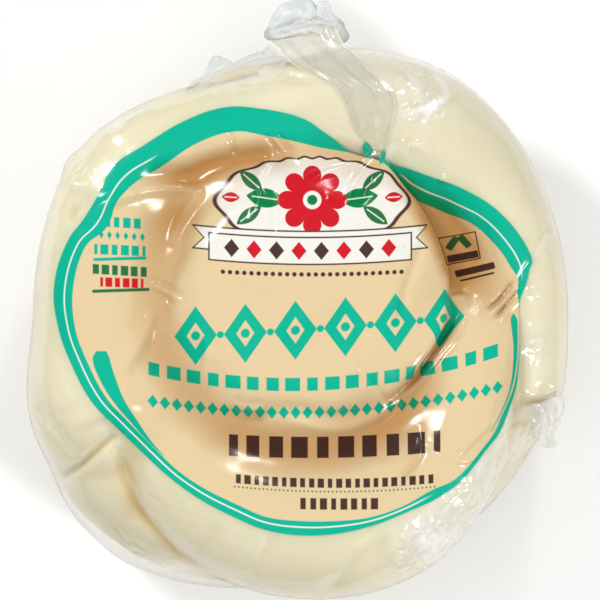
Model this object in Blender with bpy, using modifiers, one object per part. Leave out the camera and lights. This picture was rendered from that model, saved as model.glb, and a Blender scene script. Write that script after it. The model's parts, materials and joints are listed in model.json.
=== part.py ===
"""A ball of oaxaca cheese in a clear vacuum bag, lying on its back with the printed face up.

One thick rope of cheese is wound into a flat ball: a lower turn, an upper turn on it, and a
middle lump that the upper turn goes round. The bag is drawn tight over them, is gathered into
a neck beside the middle lump, and ends in a crumpled seal that stands out behind the ball.
Lengths are in millimetres. X is to the right and Y away, as the printed face is seen.
"""

import math

import bmesh
import bpy
import numpy as np
from mathutils import Vector
from mathutils.bvhtree import BVHTree

MM = 0.001

# The ball as a whole
BALL_REACH = 66.0
BALL_HEIGHT = 46.0
BASE_FLAT_DEPTH = 0.7
FACE_DIVISIONS = 24
TAUT_ROUNDS = 7
EASED_ROUNDS = 2
SHARP_ANGLE = math.radians(60)

# The upper turn runs anticlockwise from under the right side, once round, and then inside its own
# start, where it dives under the middle lump. A station is (direction in degrees, outer radius,
# half width, height of its middle).
UPPER_STATIONS = [
    (-34, 50.0, 7.6, 19.0),
    (-18, 54.4, 8.6, 26.0),
    (0, 53.6, 9.2, 28.4),
    (20, 54.9, 9.6, 29.8),
    (40, 57.2, 11.4, 31.0),
    (60, 58.5, 12.6, 31.8),
    (80, 56.2, 12.2, 32.2),
    (100, 51.2, 11.6, 32.4),
    (120, 53.2, 11.2, 32.4),
    (140, 56.4, 11.4, 32.4),
    (160, 54.5, 12.6, 32.0),
    (180, 53.2, 13.2, 31.6),
    (192, 55.0, 14.0, 31.2),
    (202, 56.8, 14.6, 30.8),
    (208, 57.4, 14.6, 30.6),
    (213, 52.4, 13.0, 31.0),
    (218, 46.8, 11.7, 31.5),
    (226, 47.2, 12.0, 31.5),
    (235, 49.6, 12.8, 31.4),
    (255, 52.9, 14.6, 31.0),
    (280, 55.0, 15.4, 30.8),
    (300, 54.4, 14.6, 31.0),
    (318, 50.6, 12.0, 32.0),
    (334, 46.2, 9.6, 32.8),
    (347, 44.0, 9.0, 32.8),
    (358, 43.0, 8.8, 31.2),
    (370, 41.4, 8.4, 26.6),
    (386, 39.0, 7.6, 20.0),
]
UPPER_HALF_HEIGHT = 10.6

# The lower turn is a ring. A swell is (direction in degrees, change in mm, spread in degrees).
LOWER_OUTER = 51.6
LOWER_SWELLS = [(226, 8.2, 29), (98, 3.6, 22), (322, 1.6, 20), (38, 2.4, 30)]
LOWER_HALF_WIDTH = 12.2
LOWER_HALF_HEIGHT = 11.6
LOWER_MIDDLE = 12.9
LOWER_RISES = [(230, 4.0, 24)]

TURN_STEP = 5.0

# The middle lump is a small turn of its own, filled in the middle, on the printed face.
LUMP_AT = (0.4, 6.2)
LUMP_OUTER = 28.6
LUMP_HALF_WIDTH = 12.4
LUMP_HALF_HEIGHT = 10.9
LUMP_MIDDLE = 33.9
LUMP_FILL_HALF = (21.0, 21.0, 12.2)
CORE_HALF = (38.0, 38.0, 15.0)

# The strands that cross the back
BACK_STRANDS = 3
BACK_STRAND_PITCH = 17.0
BACK_STRAND_HALF_WIDTH = 10.0
BACK_STRAND_HALF_HEIGHT = 9.2
BACK_STRAND_MIDDLE = 9.4
BACK_STRAND_RISE = 0.7
BACK_STRAND_LENGTH = 66.0
BACK_STRAND_TURN = 28.0

# The gathered neck of the bag: each station is (x, y, height, half width)
NECK_STATIONS = [
    (14.8, 34.0, 37.6, 1.8),
    (15.2, 38.4, 41.6, 3.2),
    (13.8, 43.2, 43.4, 4.2),
    (10.6, 48.0, 42.6, 5.4),
    (5.8, 52.6, 39.0, 6.8),
    (2.4, 56.4, 35.4, 7.4),
    (1.4, 59.0, 34.2, 7.4),
]
NECK_ACROSS = 6
NECK_STEPS = 3
NECK_THICKNESS = 3.0
NECK_ROOF = 1.0

# The crumpled end of the bag: its sealed roll, the puffed lip beyond it, and the lip's finger.
# A lump is (name, middle, halves).
BAG_END = [
    ("seal_roll", (1.4, 58.0, 33.4), (7.8, 2.7, 3.0)),
    ("lip", (-0.8, 60.7, 33.8), (5.7, 4.5, 3.0)),
    ("finger", (6.4, 60.4, 33.6), (2.3, 3.6, 1.9)),
]

# The two lower corners of the bag, as flat ears: (name, x, y, height, direction, length, half width)
EARS = [
    ("left_corner", -17.2, 50.0, 25.0, 104.0, 5.0, 3.9),
    ("right_corner", 46.4, -20.2, 29.0, 323.0, 7.6, 3.6),
]
EAR_THICKNESS = 2.6


def clear_scene():
    """Removes every object of the file that this script starts in."""
    for item in list(bpy.data.objects):
        bpy.data.objects.remove(item)


def collection(name):
    """A collection of that name in the scene."""
    made = bpy.data.collections.new(name)
    bpy.context.scene.collection.children.link(made)
    return made


def swollen(base, swells, degrees):
    """base, changed by each swell according to how near its direction is."""
    value = base
    for middle, amount, spread in swells:
        apart = (degrees - middle + 180.0) % 360.0 - 180.0
        value += amount * math.exp(-((apart / spread) ** 2))
    return value


def smooth_between(stations, share):
    """A place on the smooth curve through the stations, share running from 0 to 1."""
    last = len(stations) - 1
    at = min(share * last, last - 1e-6)
    index = int(at)
    t = at - index
    near = [stations[min(max(index + k, 0), last)] for k in (-1, 0, 1, 2)]
    weights = (
        -0.5 * t + t * t - 0.5 * t**3,
        1 - 2.5 * t * t + 1.5 * t**3,
        0.5 * t + 2 * t * t - 1.5 * t**3,
        -0.5 * t * t + 0.5 * t**3,
    )
    return [sum(w * p[k] for w, p in zip(weights, near)) for k in range(len(stations[0]))]


def round_place(degrees, outer, half_width, middle):
    """A place on the middle line of a turn, as (x, y, height, half width)."""
    angle = math.radians(degrees)
    radius = outer - half_width
    return (radius * math.cos(angle), radius * math.sin(angle), middle, half_width)


def upper_path():
    """The middle line of the upper turn, which overlaps its own start."""
    steps = round((UPPER_STATIONS[-1][0] - UPPER_STATIONS[0][0]) / TURN_STEP)
    return [round_place(*smooth_between(UPPER_STATIONS, step / steps)) for step in range(steps + 1)]


def lower_path():
    """The middle line of the lower turn, which is closed."""
    steps = round(360.0 / TURN_STEP)
    places = []
    for step in range(steps):
        degrees = 360.0 * step / steps
        outer = swollen(LOWER_OUTER, LOWER_SWELLS, degrees)
        height = swollen(LOWER_MIDDLE, LOWER_RISES, degrees)
        places.append(round_place(degrees, outer, LOWER_HALF_WIDTH, height))
    return places


def lump_path():
    """The middle line of the small turn that makes the middle lump."""
    steps = round(360.0 / TURN_STEP / 2)
    ring = [round_place(360.0 * step / steps, LUMP_OUTER, LUMP_HALF_WIDTH, LUMP_MIDDLE) for step in range(steps)]
    return [(x + LUMP_AT[0], y + LUMP_AT[1], height, width) for x, y, height, width in ring]


def back_path(index):
    """The middle line of one of the straight strands that cross the back."""
    turn = math.radians(BACK_STRAND_TURN)
    along = (math.cos(turn), math.sin(turn))
    aside = (index - (BACK_STRANDS - 1) / 2) * BACK_STRAND_PITCH
    return [
        (
            along[0] * reach * BACK_STRAND_LENGTH - along[1] * aside,
            along[1] * reach * BACK_STRAND_LENGTH + along[0] * aside,
            BACK_STRAND_MIDDLE + BACK_STRAND_RISE * abs(aside) / BACK_STRAND_PITCH,
            BACK_STRAND_HALF_WIDTH,
        )
        for reach in (-0.5, -0.25, 0.0, 0.25, 0.5)
    ]


def strand(name, path, half_height, closed, home):
    """A stretch of rope along path, as wide as path says and about half_height tall on each side."""
    flat = half_height / (sum(place[3] for place in path) / len(path))
    data = bpy.data.curves.new(name, "CURVE")
    data.dimensions = "3D"
    data.bevel_depth = MM
    data.bevel_resolution = 5
    data.use_fill_caps = not closed
    line = data.splines.new("POLY")
    line.points.add(len(path) - 1)
    line.use_cyclic_u = closed
    for point, (x, y, height, width) in zip(line.points, path):
        point.co = (x * MM, y * MM, height / flat * MM, 1.0)
        point.radius = width
    made = bpy.data.objects.new(name, data)
    made.scale.z = flat
    made.hide_render = True
    made.display_type = "WIRE"
    home.objects.link(made)
    return made


def lobe(name, at, half, home, hidden=True, divisions=4):
    """A smooth lump with the given middle and half sizes."""
    shape = bmesh.new()
    bmesh.ops.create_icosphere(shape, subdivisions=divisions, radius=MM)
    bmesh.ops.scale(shape, vec=half, verts=shape.verts)
    bmesh.ops.translate(shape, vec=Vector(at) * MM, verts=shape.verts)
    data = bpy.data.meshes.new(name)
    shape.to_mesh(data)
    shape.free()
    made = bpy.data.objects.new(name, data)
    made.hide_render = hidden
    made.display_type = "WIRE"
    home.objects.link(made)
    return made


def wind_rope(home):
    """The whole winding of the rope, as guides that the bag is drawn over."""
    guides = [
        strand("upper_turn", upper_path(), UPPER_HALF_HEIGHT, False, home),
        strand("lower_turn", lower_path(), LOWER_HALF_HEIGHT, True, home),
        strand("middle_lump", lump_path(), LUMP_HALF_HEIGHT, True, home),
        lobe("lump_fill", (*LUMP_AT, LUMP_MIDDLE), LUMP_FILL_HALF, home),
        lobe("core", (0.0, 0.0, BALL_HEIGHT / 2), CORE_HALF, home),
    ]
    for index in range(BACK_STRANDS):
        name = f"back_strand_{index}"
        guides.append(strand(name, back_path(index), BACK_STRAND_HALF_HEIGHT, False, home))
    return guides


def surface_of(guides):
    """One search tree over the faces of all the guides, in world space."""
    bpy.context.view_layer.update()
    seen = bpy.context.evaluated_depsgraph_get()
    points, faces = [], []
    for guide in guides:
        data = bpy.data.meshes.new_from_object(guide.evaluated_get(seen))
        start = len(points)
        points += [guide.matrix_world @ vertex.co for vertex in data.vertices]
        faces += [[start + corner for corner in face.vertices] for face in data.polygons]
        bpy.data.meshes.remove(data)
    return BVHTree.FromPolygons(points, faces)


def pillow_point(direction):
    """A point on a pillow round the ball, and the way in from it, for a direction from the middle.

    The pillow has flat faces and a half-round rim. Equal angles from its axis give equal
    lengths along its outline, so the mesh is as fine on the faces as on the rim.
    """
    rim = (BALL_HEIGHT / 2 + 2.0) * MM
    flat = BALL_REACH * MM - rim
    outline = 2 * flat + math.pi * rim
    away = math.hypot(direction.x, direction.y)
    side = Vector((direction.x / away, direction.y / away, 0.0)) if away > 1e-9 else Vector((1, 0, 0))
    length = math.acos(max(-1.0, min(1.0, direction.z))) / math.pi * outline
    bend = min(max((length - flat) / rim, 0.0), math.pi)
    out = side * math.sin(bend) + Vector((0, 0, math.cos(bend)))
    reach = min(length, outline - length, flat)
    middle = Vector((0.0, 0.0, BALL_HEIGHT / 2 * MM))
    return middle + side * reach + out * rim, -out


def draw_tight(depths, solid, ends, rounds):
    """How deep a taut film lies at each point: it spans the hollows and never cuts the cheese."""
    first, second = ends[:, 0], ends[:, 1]
    count = np.bincount(first, minlength=len(depths)) + np.bincount(second, minlength=len(depths))
    for _ in range(rounds):
        total = np.bincount(first, depths[second], len(depths))
        total += np.bincount(second, depths[first], len(depths))
        depths = np.minimum(solid, 0.5 * depths + 0.5 * total / count)
    return depths


def wrap_ball(tree, home):
    """The bag drawn over the winding, as one closed mesh of even squares."""
    shape = bmesh.new()
    bmesh.ops.create_cube(shape, size=2.0)
    bmesh.ops.subdivide_edges(shape, edges=shape.edges, cuts=FACE_DIVISIONS - 1, use_grid_fill=True)
    starts, ways, depths = [], [], []
    for vertex in shape.verts:
        even = Vector(math.tan(part * math.pi / 4) for part in vertex.co)
        start, way = pillow_point(even.normalized())
        hit = tree.ray_cast(start, way)
        starts.append(start)
        ways.append(way)
        depths.append(hit[3])
    shape.verts.ensure_lookup_table()
    ends = np.array([[vertex.index for vertex in edge.verts] for edge in shape.edges])
    solid = np.array(depths)
    taut = draw_tight(solid, solid, ends, TAUT_ROUNDS)
    taut = draw_tight(taut, np.full(len(taut), np.inf), ends, EASED_ROUNDS)
    for vertex, start, way, depth in zip(shape.verts, starts, ways, taut):
        vertex.co = start + way * float(depth)
    data = bpy.data.meshes.new("cheese_pack")
    shape.to_mesh(data)
    shape.free()
    made = bpy.data.objects.new("cheese_pack", data)
    home.objects.link(made)
    return made


def gathered_neck(home):
    """The folded neck of the bag, lying over the upper turn as a thick flat band."""
    steps = (len(NECK_STATIONS) - 1) * NECK_STEPS
    shape = bmesh.new()
    bmesh.ops.create_grid(shape, x_segments=NECK_ACROSS, y_segments=steps, size=1.0)
    for vertex in shape.verts:
        across = vertex.co.x
        x, y, height, half = smooth_between(NECK_STATIONS, (vertex.co.y + 1) / 2)
        x_on, y_on, _, _ = smooth_between(NECK_STATIONS, min((vertex.co.y + 1) / 2 + 0.02, 1.0))
        x_off, y_off, _, _ = smooth_between(NECK_STATIONS, max((vertex.co.y + 1) / 2 - 0.02, 0.0))
        ahead = Vector((x_on - x_off, y_on - y_off, 0.0)).normalized()
        aside = Vector((ahead.y, -ahead.x, 0.0))
        roof = NECK_ROOF * (1 - across * across)
        vertex.co = (Vector((x, y, height + roof)) + aside * across * half) * MM
    data = bpy.data.meshes.new("neck")
    shape.to_mesh(data)
    shape.free()
    made = bpy.data.objects.new("neck", data)
    wall = made.modifiers.new("wall", "SOLIDIFY")
    wall.thickness = NECK_THICKNESS * MM
    wall.offset = -1.0
    home.objects.link(made)
    return made


def ear(name, x, y, height, direction, length, half_width, home):
    """A flat corner of the bag that stands out from the ball and narrows to its tip."""
    shape = bmesh.new()
    bmesh.ops.create_icosphere(shape, subdivisions=2, radius=1.0)
    angle = math.radians(direction)
    ahead = Vector((math.cos(angle), math.sin(angle), 0.0))
    aside = Vector((-ahead.y, ahead.x, 0.0))
    for vertex in shape.verts:
        narrow = 1.0 - 0.35 * vertex.co.x
        along = ahead * vertex.co.x * length + aside * vertex.co.y * half_width * narrow
        lift = Vector((0.0, 0.0, vertex.co.z * EAR_THICKNESS / 2 * narrow))
        vertex.co = (Vector((x, y, height)) + along + lift) * MM
    data = bpy.data.meshes.new(name)
    shape.to_mesh(data)
    shape.free()
    made = bpy.data.objects.new(name, data)
    home.objects.link(made)
    return made


def join_film(body, extras):
    """Joins the loose film to the ball with Boolean unions, and removes the loose pieces."""
    for extra in extras.objects:
        union = body.modifiers.new(extra.name, "BOOLEAN")
        union.operation = "UNION"
        union.object = extra
        union.solver = "MANIFOLD"
    bpy.context.view_layer.update()
    seen = bpy.context.evaluated_depsgraph_get()
    joined = bpy.data.meshes.new_from_object(body.evaluated_get(seen))
    body.modifiers.clear()
    body.data = joined
    for item in list(extras.objects):
        bpy.data.objects.remove(item)


def fill_hollows(body):
    """Keeps the outer skin alone, so that a gap closed in under the neck is filled."""
    shape = bmesh.new()
    shape.from_mesh(body.data)
    skins = []
    left = set(shape.faces)
    while left:
        skin, edge_of = set(), [left.pop()]
        while edge_of:
            face = edge_of.pop()
            skin.add(face)
            near = {other for edge in face.edges for other in edge.link_faces} & left
            left -= near
            edge_of += near
        skins.append(skin)
    outer = max(skins, key=len)
    spare = [face for skin in skins if skin is not outer for face in skin]
    bmesh.ops.delete(shape, geom=spare, context="FACES")
    shape.to_mesh(body.data)
    shape.free()


def flatten_base(body):
    """Cuts the flat spot that the pack rests on and closes it."""
    shape = bmesh.new()
    shape.from_mesh(body.data)
    lowest = min(vertex.co.z for vertex in shape.verts)
    level = lowest + BASE_FLAT_DEPTH * MM
    geometry = shape.verts[:] + shape.edges[:] + shape.faces[:]
    cut = bmesh.ops.bisect_plane(
        shape, geom=geometry, plane_co=(0, 0, level), plane_no=(0, 0, -1), clear_outer=True
    )
    rim = [item for item in cut["geom_cut"] if isinstance(item, bmesh.types.BMEdge)]
    bmesh.ops.triangle_fill(shape, edges=rim, use_beauty=True, normal=(0, 0, -1))
    bmesh.ops.recalc_face_normals(shape, faces=shape.faces)
    shape.to_mesh(body.data)
    shape.free()


def stand_on_origin(body):
    """Moves the pack so that the origin is under the middle of its box, on the base."""
    points = np.array([vertex.co for vertex in body.data.vertices])
    low, high = points.min(axis=0), points.max(axis=0)
    shape = bmesh.new()
    shape.from_mesh(body.data)
    shift = Vector((-(low[0] + high[0]) / 2, -(low[1] + high[1]) / 2, -low[2]))
    bmesh.ops.translate(shape, vec=shift, verts=shape.verts)
    shape.to_mesh(body.data)
    shape.free()


def finish(name, colour, roughness):
    """A material with one colour and roughness."""
    made = bpy.data.materials.new(name)
    made.use_nodes = True
    shader = made.node_tree.nodes["Principled BSDF"]
    shader.inputs["Base Color"].default_value = (*colour, 1.0)
    shader.inputs["Roughness"].default_value = roughness
    shader.inputs["Metallic"].default_value = 0.0
    return made


def build():
    """Builds the pack from the rope outwards."""
    clear_scene()
    pack = collection("oaxaca_cheese")
    guides = collection("rope_guides")
    loose = collection("loose_film")
    tree = surface_of(wind_rope(guides))
    body = wrap_ball(tree, pack)
    gathered_neck(loose)
    for name, at, half in BAG_END:
        lobe(name, at, half, loose, hidden=False, divisions=3)
    for sizes in EARS:
        ear(*sizes, loose)
    join_film(body, loose)
    fill_hollows(body)
    flatten_base(body)
    stand_on_origin(body)
    body.data.shade_smooth()
    body.data.set_sharp_from_angle(angle=SHARP_ANGLE)
    body.data.materials.clear()
    body.data.materials.append(finish("cheese_in_film", (0.86, 0.78, 0.58), 0.25))


build()
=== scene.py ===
"""A ball of oaxaca cheese in a clear vacuum bag, seen from straight above.

The cheese is one rope, wound as a lower turn, an upper turn and a middle lump. The bag is drawn
tight over it, is printed over the front, and is gathered into a neck that ends in a crumpled seal.
Shapes are worked out in millimetres with X to the right and Y away, about the middle of the
winding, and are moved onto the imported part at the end. Places on the printed face are given in
fifths of a millimetre, to the right and down from the corner of the pack's outline.
"""

import json
import math

import bmesh
import bpy
import numpy as np
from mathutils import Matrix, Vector, noise
from mathutils.bvhtree import BVHTree

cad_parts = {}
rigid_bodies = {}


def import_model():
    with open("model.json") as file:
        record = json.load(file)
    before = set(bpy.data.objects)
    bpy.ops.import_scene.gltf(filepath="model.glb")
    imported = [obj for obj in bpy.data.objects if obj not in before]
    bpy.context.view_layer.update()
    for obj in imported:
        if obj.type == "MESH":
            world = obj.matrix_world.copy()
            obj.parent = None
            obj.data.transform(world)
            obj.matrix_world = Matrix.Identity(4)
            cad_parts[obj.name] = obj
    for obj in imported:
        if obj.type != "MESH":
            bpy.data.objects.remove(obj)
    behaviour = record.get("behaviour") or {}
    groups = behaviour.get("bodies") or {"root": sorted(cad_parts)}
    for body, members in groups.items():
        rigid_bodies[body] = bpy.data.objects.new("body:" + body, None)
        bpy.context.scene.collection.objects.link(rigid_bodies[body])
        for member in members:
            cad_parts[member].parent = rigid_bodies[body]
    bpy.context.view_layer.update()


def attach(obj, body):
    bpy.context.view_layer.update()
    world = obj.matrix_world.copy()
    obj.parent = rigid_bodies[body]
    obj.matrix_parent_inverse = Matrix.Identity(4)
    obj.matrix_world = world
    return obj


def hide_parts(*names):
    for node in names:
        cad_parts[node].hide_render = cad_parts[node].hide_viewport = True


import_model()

MM = 0.001

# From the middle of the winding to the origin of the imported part
TO_PART = np.array([0.206, -5.472, -1.321])

# Places on the printed face
FACE_UNIT = 0.2
FACE_MIDDLE = (300.0, 326.0)
FACE_SIZE = 600.0

# The winding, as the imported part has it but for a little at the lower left
BALL_REACH = 66.0
BALL_HEIGHT = 46.0
UPPER_STATIONS = [
    (-34, 50.0, 7.6, 19.0), (-18, 54.4, 8.6, 26.0), (0, 53.6, 9.2, 28.4), (20, 54.9, 9.6, 29.8),
    (40, 57.2, 11.4, 31.0), (60, 58.5, 12.6, 31.8), (80, 56.2, 12.2, 32.2), (100, 51.2, 11.6, 32.4),
    (120, 53.2, 11.2, 32.4), (140, 56.4, 11.4, 32.4), (160, 54.5, 12.6, 32.0), (180, 53.2, 13.2, 31.6),
    (190, 55.2, 15.0, 30.4), (198, 56.8, 16.4, 29.4), (204, 57.2, 17.0, 28.9), (208, 53.5, 15.2, 30.0),
    (212, 47.5, 12.0, 31.3), (216, 45.2, 10.8, 31.8), (224, 46.6, 11.6, 31.6), (235, 49.6, 12.8, 31.4),
    (255, 52.9, 14.6, 31.0), (280, 55.0, 15.4, 30.8), (300, 54.4, 14.6, 31.0), (318, 50.6, 12.0, 32.0),
    (334, 46.2, 9.6, 32.8), (347, 44.0, 9.0, 32.8), (358, 43.0, 8.8, 31.2), (370, 41.4, 8.4, 26.6),
    (386, 39.0, 7.6, 20.0),
]
UPPER_HALF_HEIGHT = 10.6
LOWER_OUTER = 51.6
LOWER_SWELLS = [(226, 8.2, 29), (98, 3.6, 22), (322, 1.6, 20), (38, 2.4, 30)]
LOWER_HALF_WIDTH = 12.2
LOWER_HALF_HEIGHT = 11.6
LOWER_MIDDLE = 12.9
LOWER_RISES = [(230, 4.0, 24)]
LEFT_LOBES = [((-37.0, -29.5, 23.0), (11.5, 12.5, 13.5)), ((-29.0, -38.5, 21.0), (12.0, 10.5, 13.0))]
TURN_STEP = 3.0
LUMP_AT = (0.4, 6.2)
LUMP_OUTER = 28.6
LUMP_HALF_WIDTH = 12.4
LUMP_HALF_HEIGHT = 10.9
LUMP_MIDDLE = 33.9
LUMP_FILL_HALF = (21.0, 21.0, 12.2)
CORE_HALF = (38.0, 38.0, 15.0)
BACK_STRANDS = 3
BACK_STRAND_PITCH = 17.0
BACK_STRAND_HALF_WIDTH = 10.0
BACK_STRAND_HALF_HEIGHT = 9.2
BACK_STRAND_MIDDLE = 9.4
BACK_STRAND_RISE = 0.7
BACK_STRAND_LENGTH = 66.0
BACK_STRAND_TURN = 28.0

# How fine the skins are: squares across a face of the cube that they start from, and down its sides
FILM_CUTS, FILM_ROWS = ((120, 50))
CHEESE_CUTS, CHEESE_ROWS = ((110, 60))
# The film bridges hollows as if eased this far, in millimetres
FILM_EASE = 6.0
FILM_GAP = 0.22
# How deep a hollow is, in mm, where the shade painted into it is at its fullest
FILM_DEEPEST = 3.0
CHEESE_DEEPEST = 3.4
# Slow waves all over the film and over the cheese: (height in mm, size in mm, seed)
FILM_WAVES = [(0.16, 9.0, 1), (0.05, 3.0, 2)]
CHEESE_WAVES = (0.15, 7.0, 4)
# Where the film stands off the rim of the cheese: (direction in degrees, spread in degrees, gap in mm)
STAND_OFFS = [
    (232, 15, 2.6), (252, 10, 1.6), (338, 9, 2.2), (84, 14, 1.8), (104, 12, 1.6), (65, 10, 1.0), (160, 12, 0.5),
]


def clear_lights_and_cameras():
    """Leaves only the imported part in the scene."""
    for item in list(bpy.data.objects):
        if item.type in ("CAMERA", "LIGHT"):
            bpy.data.objects.remove(item)


def swollen(base, swells, degrees):
    """base, changed by each swell according to how near its direction is."""
    value = base
    for middle, amount, spread in swells:
        apart = (degrees - middle + 180.0) % 360.0 - 180.0
        value += amount * math.exp(-((apart / spread) ** 2))
    return value


def smooth_between(stations, share):
    """A place on the smooth curve through the stations, share running from 0 to 1."""
    last = len(stations) - 1
    at = min(max(share, 0.0) * last, last - 1e-6)
    index = int(at)
    t = at - index
    near = [stations[min(max(index + k, 0), last)] for k in (-1, 0, 1, 2)]
    weights = (
        -0.5 * t + t * t - 0.5 * t**3,
        1 - 2.5 * t * t + 1.5 * t**3,
        0.5 * t + 2 * t * t - 1.5 * t**3,
        -0.5 * t * t + 0.5 * t**3,
    )
    return [sum(w * p[k] for w, p in zip(weights, near)) for k in range(len(stations[0]))]


def round_place(degrees, outer, half_width, middle):
    """A place on the middle line of a turn, as (x, y, height, half width)."""
    angle = math.radians(degrees)
    radius = outer - half_width
    return (radius * math.cos(angle), radius * math.sin(angle), middle, half_width)


def upper_path():
    """The middle line of the upper turn, which overlaps its own start."""
    steps = round((UPPER_STATIONS[-1][0] - UPPER_STATIONS[0][0]) / TURN_STEP)
    return [round_place(*smooth_between(UPPER_STATIONS, step / steps)) for step in range(steps + 1)]


def lower_path():
    """The middle line of the lower turn, which is closed."""
    steps = round(360.0 / TURN_STEP)
    places = []
    for step in range(steps):
        degrees = 360.0 * step / steps
        outer = swollen(LOWER_OUTER, LOWER_SWELLS, degrees)
        height = swollen(LOWER_MIDDLE, LOWER_RISES, degrees)
        places.append(round_place(degrees, outer, LOWER_HALF_WIDTH, height))
    return places


def lump_path():
    """The middle line of the small turn that makes the middle lump."""
    steps = round(360.0 / TURN_STEP / 2)
    ring = [round_place(360.0 * step / steps, LUMP_OUTER, LUMP_HALF_WIDTH, LUMP_MIDDLE) for step in range(steps)]
    return [(x + LUMP_AT[0], y + LUMP_AT[1], height, width) for x, y, height, width in ring]


def back_path(index):
    """The middle line of one of the straight strands that cross the back."""
    turn = math.radians(BACK_STRAND_TURN)
    along = (math.cos(turn), math.sin(turn))
    aside = (index - (BACK_STRANDS - 1) / 2) * BACK_STRAND_PITCH
    return [
        (
            along[0] * reach * BACK_STRAND_LENGTH - along[1] * aside,
            along[1] * reach * BACK_STRAND_LENGTH + along[0] * aside,
            BACK_STRAND_MIDDLE + BACK_STRAND_RISE * abs(aside) / BACK_STRAND_PITCH,
            BACK_STRAND_HALF_WIDTH,
        )
        for reach in (-0.5, -0.25, 0.0, 0.25, 0.5)
    ]


def strand(path, half_height, closed):
    """The faces of a stretch of rope along path, as (points in mm, corner lists)."""
    flat = half_height / (sum(place[3] for place in path) / len(path))
    data = bpy.data.curves.new("rope", "CURVE")
    data.dimensions = "3D"
    data.bevel_depth = 1.0
    data.bevel_resolution = 9
    data.use_fill_caps = not closed
    line = data.splines.new("POLY")
    line.points.add(len(path) - 1)
    line.use_cyclic_u = closed
    for point, (x, y, height, width) in zip(line.points, path):
        point.co = (x, y, height / flat, 1.0)
        point.radius = width
    guide = bpy.data.objects.new("rope", data)
    mesh = bpy.data.meshes.new_from_object(guide)
    points = [Vector((v.co.x, v.co.y, v.co.z * flat)) for v in mesh.vertices]
    faces = [list(face.vertices) for face in mesh.polygons]
    bpy.data.objects.remove(guide)
    bpy.data.curves.remove(data)
    bpy.data.meshes.remove(mesh)
    return points, faces


def lobe(at, half):
    """The faces of a smooth lump with the given middle and half sizes."""
    shape = bmesh.new()
    bmesh.ops.create_icosphere(shape, subdivisions=5, radius=1.0)
    bmesh.ops.scale(shape, vec=half, verts=shape.verts)
    bmesh.ops.translate(shape, vec=at, verts=shape.verts)
    shape.verts.index_update()
    points = [vertex.co.copy() for vertex in shape.verts]
    faces = [[vertex.index for vertex in face.verts] for face in shape.faces]
    shape.free()
    return points, faces


def wind_rope():
    """A search tree over the whole winding of the rope."""
    parts = [
        strand(upper_path(), UPPER_HALF_HEIGHT, False),
        strand(lower_path(), LOWER_HALF_HEIGHT, True),
        strand(lump_path(), LUMP_HALF_HEIGHT, True),
        lobe((*LUMP_AT, LUMP_MIDDLE), LUMP_FILL_HALF),
        *[lobe(*each) for each in LEFT_LOBES],
        lobe((0.0, 0.0, BALL_HEIGHT / 2), CORE_HALF),
    ]
    parts += [strand(back_path(index), BACK_STRAND_HALF_HEIGHT, False) for index in range(BACK_STRANDS)]
    points, faces = [], []
    for some_points, some_faces in parts:
        start = len(points)
        points += some_points
        faces += [[start + corner for corner in face] for face in some_faces]
    return BVHTree.FromPolygons(points, faces)


def tree_of(data, points):
    """A search tree over a mesh whose points are given in mm."""
    faces = [list(face.vertices) for face in data.polygons]
    return BVHTree.FromPolygons([Vector(point) for point in points], faces)


def mesh_of(shape, name):
    """A mesh of this shape, which is freed."""
    data = bpy.data.meshes.new(name)
    shape.to_mesh(data)
    shape.free()
    return data


def in_scene(name, data):
    """A new object in the scene."""
    item = bpy.data.objects.new(name, data)
    bpy.context.scene.collection.objects.link(item)
    return item


def upright_edges(shape, height):
    """The edges of a shape whose ends are further apart than this in height."""
    return [edge for edge in shape.edges if abs(edge.verts[0].co.z - edge.verts[1].co.z) > height]


def cube_skin(name, cuts, rows, fine_top=False):
    """A mesh on a cube that reaches one from its middle, twice as fine on top if asked for."""
    shape = bmesh.new()
    bmesh.ops.create_cube(shape, size=2.0)
    bmesh.ops.subdivide_edges(shape, edges=upright_edges(shape, 1.0), cuts=rows - 1)
    level = [edge for edge in shape.edges if abs(edge.verts[0].co.z - edge.verts[1].co.z) < 1e-6]
    bmesh.ops.subdivide_edges(shape, edges=level, cuts=cuts - 1, use_grid_fill=True)
    if fine_top:
        top = [edge for edge in shape.edges if min(edge.verts[0].co.z, edge.verts[1].co.z) > 1 - 1e-6]
        bmesh.ops.subdivide_edges(shape, edges=top, cuts=1, use_grid_fill=True)
        bmesh.ops.triangulate(shape, faces=[face for face in shape.faces if len(face.verts) > 4])
    return mesh_of(shape, name)


def points_of(data):
    """The points of a mesh, as an array."""
    flat = np.empty(len(data.vertices) * 3)
    data.vertices.foreach_get("co", flat)
    return flat.reshape(-1, 3)


def ends_of(data):
    """The two point numbers of each edge, as an array."""
    flat = np.empty(len(data.edges) * 2, np.int32)
    data.edges.foreach_get("vertices", flat)
    return flat.reshape(-1, 2)


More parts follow.
